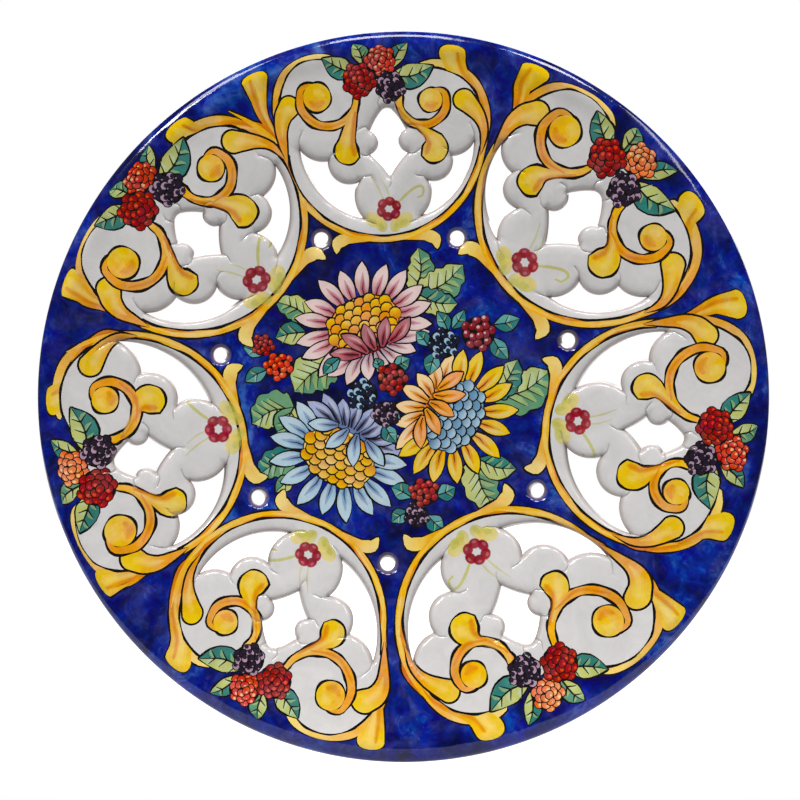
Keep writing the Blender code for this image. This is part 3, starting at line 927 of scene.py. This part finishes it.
def painting():
    """Every painted shape, in the order the coats are laid."""
    shapes = bouquet()
    for index, m in enumerate(MEDALLIONS):
        shapes += lower_coat(m, index)
    for m in MEDALLIONS:
        shapes += middle_coat(m)
    for index, m in enumerate(MEDALLIONS):
        shapes += upper_coat(m, index)
    return [Shape(simplified(outline), wash, alpha)
            for outline, wash, alpha in mapped(shapes + groove_shades(), kept_off_the_lip)]


# ---------------------------------------------------------------- the plate's mesh
def dish_height(radius):
    """Height of the plain dish above the wall, from its well up along its flange."""
    past = radius - FLANGE_START
    return WELL_HEIGHT + FLANGE_SLOPE * (np.hypot(past, FLANGE_BLEND) + past) / 2


def lip_turn(radius):
    """How far across the lip a radius lies, from 0 to 1."""
    return np.clip((radius - (PLATE_RADIUS - LIP_WIDTH)) / LIP_WIDTH, 0, 1)


def quarter_round(turn):
    """How far a quarter circle has fallen, from 0 to 1."""
    return 1 - np.sqrt(1 - turn**2)


def front_height(plan, cut_distance, groove_distance):
    """The painted surface: lip and bead, clay rounded and swelling beside the cuts, and knife grooves."""
    radius = norm(plan, axis=1)
    bead = BEAD_HEIGHT * np.exp(-(((radius - BEAD_RADIUS) / BEAD_WIDTH) ** 2))
    edge = quarter_round(np.clip(1 - cut_distance / EDGE_ROUND, 0, 1))
    swell = PILLOW_DROP * np.clip(1 - cut_distance / PILLOW_WIDTH, 0, 1) ** 2
    groove = GROOVE_DEPTH * np.clip(1 - groove_distance / GROOVE_WIDTH, 0, 1) ** 1.5
    wavy = WAVE_HEIGHT * (np.sin(plan[:, 0] / WAVE_X + 1) * np.sin(plan[:, 1] / WAVE_Y) - 1)
    wavy *= np.clip((BEAD_RADIUS - radius) / BEAD_WIDTH, 0, 1)
    return (dish_height(radius) + bead + wavy - EDGE_ROUND * edge - swell - groove
            - LIP_DROP * quarter_round(lip_turn(radius)))


def back_height(radius):
    """The wall side, with its foot ring standing on the wall."""
    plain = dish_height(radius) - WALL_THICKNESS + LIP_BACK_RISE * quarter_round(lip_turn(radius))
    return plain * np.clip((np.abs(radius - FOOT_RADIUS) - FOOT_WIDTH / 2) / FOOT_SIDE, 0, 1)


def inside(points, outline):
    """Which points lie inside a closed outline."""
    x, y = points[:, 0], points[:, 1]
    found = np.zeros(len(points), dtype=bool)
    for (ax, ay), (bx, by) in zip(outline, np.roll(outline, -1, axis=0)):
        if ay != by:
            found ^= ((ay > y) != (by > y)) & (x < ax + (bx - ax) * (y - ay) / (by - ay))
    return found


def boxed(points, outline, margin=0.0):
    """Numbers of the points within an outline's bounding box, widened by a margin."""
    low, high = outline.min(0) - margin, outline.max(0) + margin
    return np.flatnonzero(((points >= low) & (points <= high)).all(1))


def distances(points, lines, reach, closed=True):
    """Distance in plan from each point to the nearest line, or the reach where that is farther."""
    nearest = np.full(len(points), reach)
    for line in lines:
        near = boxed(points, line, reach)
        starts = line if closed else line[:-1]
        edges = (np.roll(line, -1, axis=0) if closed else line[1:]) - starts
        offsets = points[near][:, None, :] - starts[None]
        along = np.clip((offsets * edges).sum(2) / (edges**2).sum(1), 0, 1)
        gaps = norm(offsets - along[..., None] * edges, axis=2)
        nearest[near] = np.minimum(nearest[near], gaps.min(1))
    return nearest


def within(points, outline):
    """Numbers of the points inside a closed outline."""
    near = boxed(points, outline)
    return near[inside(points[near], outline)]


def in_cuts(points, outlines):
    """Which points lie inside any of the outlines."""
    found = np.zeros(len(points), dtype=bool)
    for outline in outlines:
        found[within(points, outline)] = True
    return found


def clear_of_cuts(points, outlines, gap):
    """The points outside every cut and farther than a gap from its edge."""
    far = distances(points, outlines, PILLOW_WIDTH) > gap
    return points[far & ~in_cuts(points, outlines)]


def lattice(spacing, reach):
    """Points on a triangular grid within a circle."""
    rows = int(reach / (spacing * ROW_RISE)) + 1
    columns = int(reach / spacing) + 1
    points = np.array([((i + 0.5 * (j % 2)) * spacing, j * spacing * ROW_RISE)
                       for j in range(-rows, rows + 1) for i in range(-columns, columns + 1)])
    return points[norm(points, axis=1) < reach]


def visible_edges(shapes):
    """Both ends of every outline edge, save those that a later, opaque shape covers."""
    starts = np.vstack([s.outline for s in shapes])
    ends = np.vstack([np.roll(s.outline, -1, axis=0) for s in shapes])
    layer = np.repeat(np.arange(len(shapes)), [len(s.outline) for s in shapes])
    shown = np.ones(len(starts), dtype=bool)
    for k, (outline, _, alpha) in enumerate(shapes):
        if alpha == 1:
            near = boxed(starts, outline)
            near = near[(layer[near] < k) & shown[near]]
            a, b = starts[near], ends[near]
            shown[near] = ~(inside(a, outline) & inside((a + b) / 2, outline) & inside(b, outline))
    return starts[shown], ends[shown]


def triangulated(loops, loose, starts=(), ends=()):
    """(points, triangles) over loops, loose points and single edges; the loops' points come first."""
    points, edges = [], []
    for loop in loops:
        first = len(points)
        points += [Vector(p) for p in loop]
        edges += [(first + i, first + (i + 1) % len(loop)) for i in range(len(loop))]
    points += [Vector(p) for p in loose]
    for pair in zip(starts, ends):
        edges.append((len(points), len(points) + 1))
        points += [Vector(p) for p in pair]
    plan, _, faces, *_ = delaunay_2d_cdt(points, edges, [], 0, WELD, False)
    return np.array([tuple(p) for p in plan]), np.array(faces)


def border_loops(faces):
    """Closed loops of vertices round the triangles' open edges, with the triangles on their left."""
    edges = np.vstack([faces[:, [0, 1]], faces[:, [1, 2]], faces[:, [2, 0]]])
    taken = set(map(tuple, edges))
    following = {a: b for a, b in taken if (b, a) not in taken}
    loops = []
    while following:
        start, at = following.popitem()
        loop = [start]
        while at != start:
            loop.append(at)
            at = following.pop(at)
        loops.append(loop)
    return loops


def front_skin(outlines, shapes):
    """Plan points and triangles of the painted side, cut along every cut and every painted outline."""
    middle = (0, 0)
    lips = [disc(middle, PLATE_RADIUS - LIP_WIDTH * (1 - turn), RIM_STEPS) for turn in reversed(LIP_TURNS)]
    field = lattice(LATTICE, PLATE_RADIUS - LIP_WIDTH - LIP_CLEARANCE)
    loose = [clear_of_cuts(field, outlines, CUT_OFFSETS[-1] + FIELD_GAP * LATTICE),
             disc(middle, BEAD_RADIUS - BEAD_INNER, RIM_STEPS)]
    for offset in CUT_OFFSETS:
        for outline in outlines:
            beside = outline + normals(outline, closed=True) * offset
            loose.append(clear_of_cuts(beside, outlines, OFFSET_GAP * offset))
    for path in grooves():
        for offset in (-1, -0.5, 0, 0.5, 1):
            beside = path + normals(path) * offset * GROOVE_WIDTH
            loose.append(clear_of_cuts(beside, outlines, CUT_OFFSETS[1]))
    plan, faces = triangulated(lips + outlines, np.vstack(loose), *visible_edges(shapes))
    middles = plan[faces].mean(1)
    return plan, faces[~in_cuts(middles, outlines) & inside(middles, lips[0])]


def back_skin(loops):
    """Plan points and triangles of the wall side, between the loops that the walls come down to."""
    inner, outer = FOOT_RADIUS - FOOT_WIDTH / 2, FOOT_RADIUS + FOOT_WIDTH / 2
    foot = [disc((0, 0), r, FOOT_STEPS) for r in (inner - FOOT_SIDE, inner, outer, outer + FOOT_SIDE)]
    lip = [disc((0, 0), PLATE_RADIUS - share * LIP_WIDTH, RIM_STEPS // 2) for share in LIP_BACK_TURNS]
    holes = loops[1:]
    loose = clear_of_cuts(lattice(BACK_LATTICE, PLATE_RADIUS - LIP_WIDTH), holes, BACK_GAP * BACK_LATTICE)
    plan, faces = triangulated(loops + foot + lip, loose)
    return plan, faces[~in_cuts(plan[faces].mean(1), holes)]


def stood_up(plan, heights):
    """Plan points and heights above the wall as points in space."""
    return np.column_stack([plan[:, 0], -heights, plan[:, 1] - FOOT_RADIUS])


def back_loops(edges):
    """Where the walls meet the wall side: the rim straight below itself, and the cuts leaning outward."""
    return edges[:1] + [edge * (1 + CUT_LEAN / norm(edge, axis=1))[:, None] for edge in edges[1:]]


def wall_rows(front, back, loops):
    """Every point of the body, and each wall's rows of vertex numbers from the painted side down."""
    points, walls = [front, back], []
    first_back, total = len(front), len(front) + len(back)
    for loop in loops:
        count = len(loop)
        top, bottom = np.array(loop), first_back + np.arange(count)
        first_back += count
        rows = [top]
        for row in range(1, WALL_ROWS):
            share = row / WALL_ROWS
            points.append(front[top] * (1 - share) + back[bottom - len(front)] * share)
            rows.append(total + np.arange(count))
            total += count
        walls.append(rows + [bottom])
    return np.vstack(points), walls


Plate = namedtuple("Plate", "points front back plan to_cut back_plan walls")


def plate_geometry(shapes):
    """The whole body, cut along the painted outlines in front, plain behind, with walls between."""
    outlines = cuts()
    plan, faces = front_skin(outlines, shapes)
    used, faces = np.unique(faces, return_inverse=True)
    plan, faces = plan[used], faces.reshape(-1, 3)
    to_cut = distances(plan, outlines, PILLOW_WIDTH)
    to_groove = distances(plan, grooves(), GROOVE_WIDTH, closed=False)
    front = stood_up(plan, front_height(plan, to_cut, to_groove))
    loops = sorted(border_loops(faces), key=lambda loop: -np.ptp(plan[loop, 0]))
    back_plan, back_faces = back_skin(back_loops([plan[loop] for loop in loops]))
    back = stood_up(back_plan, back_height(norm(back_plan, axis=1)))
    points, walls = wall_rows(front, back, loops)
    return Plate(points, faces, back_faces[:, ::-1] + len(front), plan, to_cut, back_plan, walls)


# ---------------------------------------------------------------- the plate's colours and texture map
def painted_corners(plan, faces, shapes):
    """Colour at every triangle corner, and how much bare ground still shows on each triangle."""
    corners = plan[faces]
    middles = corners.mean(1)
    colours = np.tile(np.array(COBALT, dtype=float), (len(faces), 3, 1))
    ground = np.ones(len(faces))
    for outline, wash, alpha in shapes:
        hit = within(middles, outline)
        span = np.subtract(wash.end, wash.start)
        share = np.clip((corners[hit] - wash.start) @ span / max(span @ span, TINY), 0, 1)[..., None]
        tint = np.array(wash.first) * (1 - share) + np.array(wash.second) * share
        colours[hit] += (tint - colours[hit]) * alpha
        ground[hit] *= 1 - alpha
    return colours, ground


def linear(display):
    """Display values from 0 to 255 as linear light."""
    v = np.asarray(display, dtype=float) / 255
    return np.where(v <= 0.04045, v / 12.92, ((v + 0.055) / 1.055) ** 2.4)


def map_places(plan, faces, bottom, height):
    """Texture places of flat triangles, laid out as seen from in front."""
    share = (plan[faces].reshape(-1, 2) + PLATE_RADIUS) / (2 * PLATE_RADIUS)
    return np.column_stack([MAP_GAP + share[:, 0] * MAP_WIDTH, bottom + share[:, 1] * height])


def wall_tints(order, length):
    """Colours down a wall from the painted side: the rim, a small round hole, or a larger cut; the cut walls
    take a darker white as painted shade.
    """
    if order == 0:
        return COBALT, COBALT, COBALT_DARK, WHITE
    return (HOLE_EDGE if length < SMALL_HOLE_LENGTH else WHITE,) + (SHADED_WALL_WHITE,) * 3


def wall_faces(plate):
    """The walls' four-sided faces, row by row, with their corner colours and texture places."""
    quads, colours, places = [], [], []
    column_width = (1 - WALL_MAP_LEFT) / len(plate.walls)
    for order, rows in enumerate(plate.walls):
        count = len(rows[0])
        edge = plate.points[rows[0]]
        steps = norm(np.roll(edge, -1, axis=0) - edge, axis=1)
        run = np.r_[0, np.cumsum(steps)]
        tints = wall_tints(order, run[-1])
        v = MAP_GAP + WALL_MAP_SCALE * np.column_stack([run[1:], run[:-1], run[:-1], run[1:]])
        for row in range(WALL_ROWS):
            a, b = rows[row], rows[row + 1]
            quads.append(np.column_stack([np.roll(a, -1), a, b, np.roll(b, -1)]))
            upper, lower = tints[row], tints[row + 1]
            colours.append(np.tile([upper, upper, lower, lower], (count, 1, 1)).reshape(-1, 3))
            shares = WALL_MAP_MARGIN + (1 - 2 * WALL_MAP_MARGIN) * (row + np.array([0, 0, 1, 1])) / WALL_ROWS
            u = WALL_MAP_LEFT + column_width * (order + shares)
            places.append(np.stack([np.tile(u, (count, 1)), v], axis=2).reshape(-1, 2))
    return np.vstack(quads), np.vstack(colours), np.vstack(places)


def set_numbers(mesh, name, domain, values):
    """Store a number on every face or every point."""
    mesh.attributes.new(name, "FLOAT", domain).data.foreach_set("value", values.astype(np.float32))


def set_paint(mesh, colours):
    """Store display colours on every face corner."""
    rgba = np.column_stack([linear(colours), np.ones(len(colours))])
    paint = mesh.attributes.new("paint", "FLOAT_COLOR", "CORNER")
    paint.data.foreach_set("color", rgba.astype(np.float32).ravel())


def plate_object():
    """The plate as one mesh with its paint, its bare ground and its texture map stored on it."""
    shapes = painting()
    plate = plate_geometry(shapes)
    colours, ground = painted_corners(plate.plan, plate.front, shapes)
    quads, wall_colours, wall_places = wall_faces(plate)
    mesh = bpy.data.meshes.new("painted_plate")
    mesh.from_pydata(plate.points.tolist(), [], plate.front.tolist() + plate.back.tolist() + quads.tolist())
    back_colours = np.tile(np.array(WHITE, dtype=float), (3 * len(plate.back), 1))
    set_paint(mesh, np.vstack([colours.reshape(-1, 3), back_colours, wall_colours]))
    set_numbers(mesh, "ground", "FACE", np.r_[ground, np.zeros(len(plate.back) + len(quads))])
    # how near each point lies to a cut's edge; the glaze uses it for a grey-brown tint that is partly
    # painted shade
    near_cut = np.zeros(len(plate.points))
    near_cut[:len(plate.plan)] = np.clip(1 - plate.to_cut / EDGE_ROUND, 0, 1)
    set_numbers(mesh, "near_cut", "POINT", near_cut)
    back_plan_faces = plate.back - len(plate.plan)
    back_bottom = MAP_WIDTH + 2 * MAP_GAP
    places = np.vstack([
        map_places(plate.plan, plate.front, MAP_GAP, MAP_WIDTH),
        map_places(plate.back_plan, back_plan_faces, back_bottom, 1 - back_bottom - MAP_GAP),
        wall_places])
    mesh.uv_layers.new(name="OFBake").data.foreach_set("uv", places.astype(np.float32).ravel())
    from_ring = norm(plate.back_plan[back_plan_faces].mean(1), axis=1) - FOOT_RADIUS
    bare_foot = np.zeros(len(mesh.polygons), dtype=np.int32)
    bare_foot[len(plate.front):len(plate.front) + len(plate.back)] = np.abs(from_ring) < FOOT_WIDTH / 2
    for material in (painted_glaze(), bare_clay()):
        mesh.materials.append(material)
    mesh.polygons.foreach_set("material_index", bare_foot)
    made = bpy.data.objects.new("painted_plate", mesh)
    bpy.context.scene.collection.objects.link(made)
    return made


def wire_drill(angle):
    """A round bar across the foot ring, to drill a wire hole with."""
    turn = math.radians(angle)
    place = (FOOT_RADIUS * math.sin(turn), -WIRE_HOLE_DEPTH, FOOT_RADIUS * (math.cos(turn) - 1))
    bpy.ops.mesh.primitive_cylinder_add(vertices=DRILL_SIDES, radius=WIRE_HOLE_RADIUS, depth=3 * FOOT_WIDTH,
                                        rotation=(0, turn, 0), location=place)
    drill = bpy.context.object
    mesh = drill.data
    # the wire holes' walls take the darker white: painted shade
    set_paint(mesh, np.tile(np.array(SHADED_WALL_WHITE, dtype=float), (len(mesh.loops), 1)))
    places = mesh.uv_layers[0]
    places.name = "OFBake"
    share = np.empty(2 * len(mesh.loops), dtype=np.float32)
    places.data.foreach_get("uv", share)
    corner = (1 - 2 * DRILL_MAP_SIZE, 0.5 + DRILL_MAP_RISE * math.copysign(1, angle))
    share = share.reshape(-1, 2) * DRILL_MAP_SIZE + corner
    places.data.foreach_set("uv", share.astype(np.float32).ravel())
    return drill


def drilled(plate):
    """Cut the two wire holes through the foot ring."""
    drills = [wire_drill(angle) for angle in (-WIRE_HOLE_ANGLE, WIRE_HOLE_ANGLE)]
    for drill in drills:
        cut = plate.modifiers.new("wire_hole", "BOOLEAN")
        cut.operation = "DIFFERENCE"
        cut.solver = "MANIFOLD"
        cut.object = drill
    done = plate.evaluated_get(bpy.context.evaluated_depsgraph_get())
    mesh = bpy.data.meshes.new_from_object(done)
    plate.modifiers.clear()
    plate.data = mesh
    for drill in drills:
        bpy.data.objects.remove(drill)
    mesh.shade_smooth()
    mesh.set_sharp_from_angle(angle=math.radians(SHARP_ANGLE))


# ---------------------------------------------------------------- materials, with noise scales in 1/m
COBALT_WASHES = ((0.32, (5, 8, 52)), (0.44, (10, 18, 98)), (0.56, (17, 36, 134)), (0.70, (60, 96, 172)))
# grey-brown of the cut edges: thin glaze over the clay, and partly painted shade on the rounded edges
THIN_GLAZE_AND_EDGE_SHADE = (160, 136, 128)
CLAY_STOPS = ((0.3, (198, 152, 122)), (0.7, (218, 180, 150)))
CLAY_GRIT = (142, 98, 74)
NOISE_SPAN = (0.3, 0.7)    # where most of a noise's values lie


def feed(tree, made, inputs):
    """Give a node's sockets, by name or number, a value or another node's output."""
    for name, value in inputs.items():
        if isinstance(value, bpy.types.NodeSocket):
            tree.links.new(value, made.inputs[name])
        else:
            made.inputs[name].default_value = value


def node(tree, kind, inputs, output=0, **settings):
    """One output of a new node."""
    made = tree.nodes.new(f"ShaderNode{kind}")
    for name, value in settings.items():
        setattr(made, name, value)
    feed(tree, made, inputs)
    return made.outputs[output]


def noise(tree, place, scale, detail, roughness, distortion=0.0):
    """A noise over the surface."""
    return node(tree, "TexNoise", {"Vector": place, "Scale": scale, "Detail": detail, "Roughness": roughness,
                                   "Distortion": distortion}, "Fac")


def ranged(tree, value, low, high, from_low=0.0, from_high=1.0):
    """The value moved from one range to another, and kept within it."""
    return node(tree, "MapRange", {"Value": value, "From Min": from_low, "From Max": from_high,
                                   "To Min": low, "To Max": high}, "Result")


def varying(tree, place, low, high, *look):
    """A number that wanders from low to high over the surface, as a noise of this look does."""
    return ranged(tree, noise(tree, place, *look), low, high, *NOISE_SPAN)


def mixed(tree, factor, a, b, blend="MIX"):
    """Colour b over colour a."""
    return node(tree, "Mix", {0: factor, 6: a, 7: b}, 2, data_type="RGBA", blend_type=blend)


def ramp(tree, factor, stops):
    """A colour ramp from (position, display colour) stops."""
    output = node(tree, "ValToRGB", {"Fac": factor})
    elements = output.node.color_ramp.elements
    while len(elements) < len(stops):
        elements.new(0.5)
    for element, (position, colour) in zip(elements, stops):
        element.position = position
        element.color = (*linear(colour), 1)
    return output


def attribute(tree, name, output):
    """What is stored on the mesh under a name."""
    return node(tree, "Attribute", {}, output, attribute_name=name)


def relief(tree, height, strength, distance):
    """A bump for a shader's normal."""
    return node(tree, "Bump", {"Height": height, "Strength": strength, "Distance": distance})


def new_material(name):
    """(material, its node tree, its shader, the place on the object)"""
    material = bpy.data.materials.new(name)
    material.use_nodes = True
    tree = material.node_tree
    return material, tree, tree.nodes["Principled BSDF"], node(tree, "TexCoord", {}, "Object")


def cobalt_ground(tree, place):
    """Cobalt brushed on in broad patches and small dabs."""
    dabs = noise(tree, place, 95, 3, 0.6, 2.2)
    patches = ranged(tree, noise(tree, place, 26, 5, 0.62, 1.2), -0.15, 0.85)
    both = node(tree, "Math", {0: dabs, 1: 0.30, 2: patches}, operation="MULTIPLY_ADD")
    return ramp(tree, both, COBALT_WASHES)


def streaked(tree, place, colour):
    """The colour laid on thick and thin, most of all where it is dark."""
    streaks = varying(tree, place, 0.70, 1.30, 75, 4, 0.7, 1.0)
    strength = varying(tree, place, 0.94, 1.05, 9, 3, 0.5)
    both = node(tree, "Math", {0: streaks, 1: strength}, operation="MULTIPLY")
    varied = mixed(tree, 1.0, colour, node(tree, "CombineColor", dict.fromkeys(range(3), both)), "MULTIPLY")
    lightness = node(tree, "RGBToBW", {"Color": colour})
    return mixed(tree, ranged(tree, lightness, 0.85, 0.14, 0.05, 0.65), colour, varied)


def painted_glaze():
    """Glossy tin glaze over brushed colours, tinted grey-brown along the cut edges: partly the glaze
    thinning there, partly painted shade on the rounded edges.
    """
    material, tree, shader, place = new_material("painted_glaze")
    bare = attribute(tree, "ground", "Fac")
    colour = mixed(tree, bare, attribute(tree, "paint", "Color"), cobalt_ground(tree, place))
    colour = streaked(tree, place, colour)
    # grey-brown mixed in toward the cut edges: partly thin glaze, partly painted shade on the rounded clay
    thin = ranged(tree, attribute(tree, "near_cut", "Fac"), 0.0, 0.62, 0.30, 1.0)
    colour = mixed(tree, thin, colour, (*linear(THIN_GLAZE_AND_EDGE_SHADE), 1))
    hue = varying(tree, place, 0.492, 0.508, 110, 3, 0.6, 0.6)
    saturation = varying(tree, place, 0.90, 1.12, 60, 3, 0.6, 0.9)
    feed(tree, shader, {
        "Base Color": node(tree, "HueSaturation", {"Color": colour, "Hue": hue, "Saturation": saturation}),
        "Roughness": varying(tree, place, 0.06, 0.14, 45, 3, 0.5),
        "Normal": relief(tree, noise(tree, place, 85, 3, 0.55), 0.35, 0.0006),
        "IOR": 1.5})
    return material


def bare_clay():
    """The unglazed foot: pinkish buff clay with fine grit."""
    material, tree, shader, place = new_material("bare_clay")
    grit = noise(tree, place, 900, 4, 0.7)
    colour = ramp(tree, noise(tree, place, 40, 3, 0.5), CLAY_STOPS)
    feed(tree, shader, {
        "Base Color": mixed(tree, ranged(tree, grit, 0.0, 0.5, 0.5, 0.75), colour, (*linear(CLAY_GRIT), 1)),
        "Roughness": ranged(tree, grit, 0.75, 0.95),
        "Normal": relief(tree, grit, 0.5, 0.0003)})
    return material


# ---------------------------------------------------------------- the stage
CENTRE = Vector((0, loaded_bounds[0].y, -FOOT_RADIUS))
FLOOR_RADIUS = 1.3
FLOOR_APRON = 0.14         # how far the floor reaches in front of the plate
FLOOR_GAP = 0.001
FLOOR_GREY = (0.66, 0.66, 0.66, 1)
FLOOR_GLOW = (0.16, 0.75)  # to the room, and to the camera
ROOM_COLOUR = (0.95, 0.97, 1.0, 1)
ROOM_GLOW = (0.10, 0.34)   # in reflections, and as diffuse light
WHITE_LIGHT = (1, 1, 1, 1)
LAMPS = (
    # name, place from the plate's middle, size, watts, roll in degrees
    ("overhead_0", (-1.0, -1.0, 1.75), (0.50, 0.45), 9, 0),
    ("overhead_1", (-0.05, -1.0, 1.75), (0.62, 0.45), 14, 0),
    ("overhead_2", (0.80, -1.0, 1.75), (0.42, 0.45), 11, 0),
    ("key", (-0.95, -1.05, 1.15), (0.36, 0.24), 10.4, 0),
    ("strip", (1.25, -1.05, 1.25), (1.4, 0.18), 7.4, 45),
    ("behind", (0.3, 1.7, 1.1), (2.2, 1.5), 29, 0),
)
LENS = 100.0
SENSOR = 36.0
PLATE_SHARE = 0.9175       # of the picture's width
CAMERA_SHIFT = -0.0018     # the camera's place to the right of the plate's middle, and above it


def floor():
    """A pale round table just under the plate, mostly behind it, that glows to the camera."""
    lowest = loaded_bounds[0].z - FLOOR_GAP
    bpy.ops.mesh.primitive_circle_add(vertices=128, radius=FLOOR_RADIUS, fill_type="NGON",
                                      location=(0, FLOOR_RADIUS - FLOOR_APRON, lowest))
    made = bpy.context.object
    made.name = "floor"
    material, tree, shader, _ = new_material("pale_floor")
    seen = node(tree, "LightPath", {}, "Is Camera Ray")
    feed(tree, shader, {"Base Color": FLOOR_GREY, "Roughness": 0.9, "Emission Color": WHITE_LIGHT,
                        "Emission Strength": ranged(tree, seen, *FLOOR_GLOW)})
    made.data.materials.append(material)


def area_light(name, position, size, power, roll):
    """A soft box aimed at the middle of the plate, turned about its own beam, and not seen itself."""
    lamp = bpy.data.lights.new(name, "AREA")
    lamp.shape = "RECTANGLE"
    lamp.size, lamp.size_y = size
    lamp.energy = power
    made = bpy.data.objects.new(name, lamp)
    made.location = CENTRE + Vector(position)
    made.rotation_euler = (CENTRE - made.location).to_track_quat("-Z", "Y").to_euler()
    made.rotation_euler.rotate_axis("Z", math.radians(roll))
    made.visible_camera = False
    bpy.context.scene.collection.objects.link(made)


def studio():
    """A dim room that the camera sees as a white backdrop, with three lamps overhead and three round it."""
    world = bpy.data.worlds.new("studio")
    bpy.context.scene.world = world
    world.use_nodes = True
    tree = world.node_tree
    backdrop = tree.nodes["Background"]
    feed(tree, backdrop, {"Color": WHITE_LIGHT})
    diffuse, seen = (node(tree, "LightPath", {}, ray) for ray in ("Is Diffuse Ray", "Is Camera Ray"))
    room = node(tree, "Background", {"Color": ROOM_COLOUR, "Strength": ranged(tree, diffuse, *ROOM_GLOW)})
    both = node(tree, "MixShader", {0: seen, 1: room, 2: backdrop.outputs[0]})
    feed(tree, tree.nodes["World Output"], {"Surface": both})
    for lamp in LAMPS:
        area_light(*lamp)


def camera():
    """The photograph's straight-on view."""
    lens_data = bpy.data.cameras.new("camera")
    lens_data.lens = LENS
    lens_data.sensor_width = SENSOR
    made = bpy.data.objects.new("camera", lens_data)
    distance = 2 * PLATE_RADIUS / PLATE_SHARE * LENS / SENSOR
    made.location = CENTRE + Vector((CAMERA_SHIFT, -distance, CAMERA_SHIFT))
    made.rotation_euler = (math.radians(90), 0, 0)
    bpy.context.scene.collection.objects.link(made)
    bpy.context.scene.camera = made


plate = plate_object()
drilled(plate)
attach(plate, "root")
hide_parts("pierced_plate")
floor()
studio()
camera()
bpy.context.scene.view_settings.view_transform = "Standard"
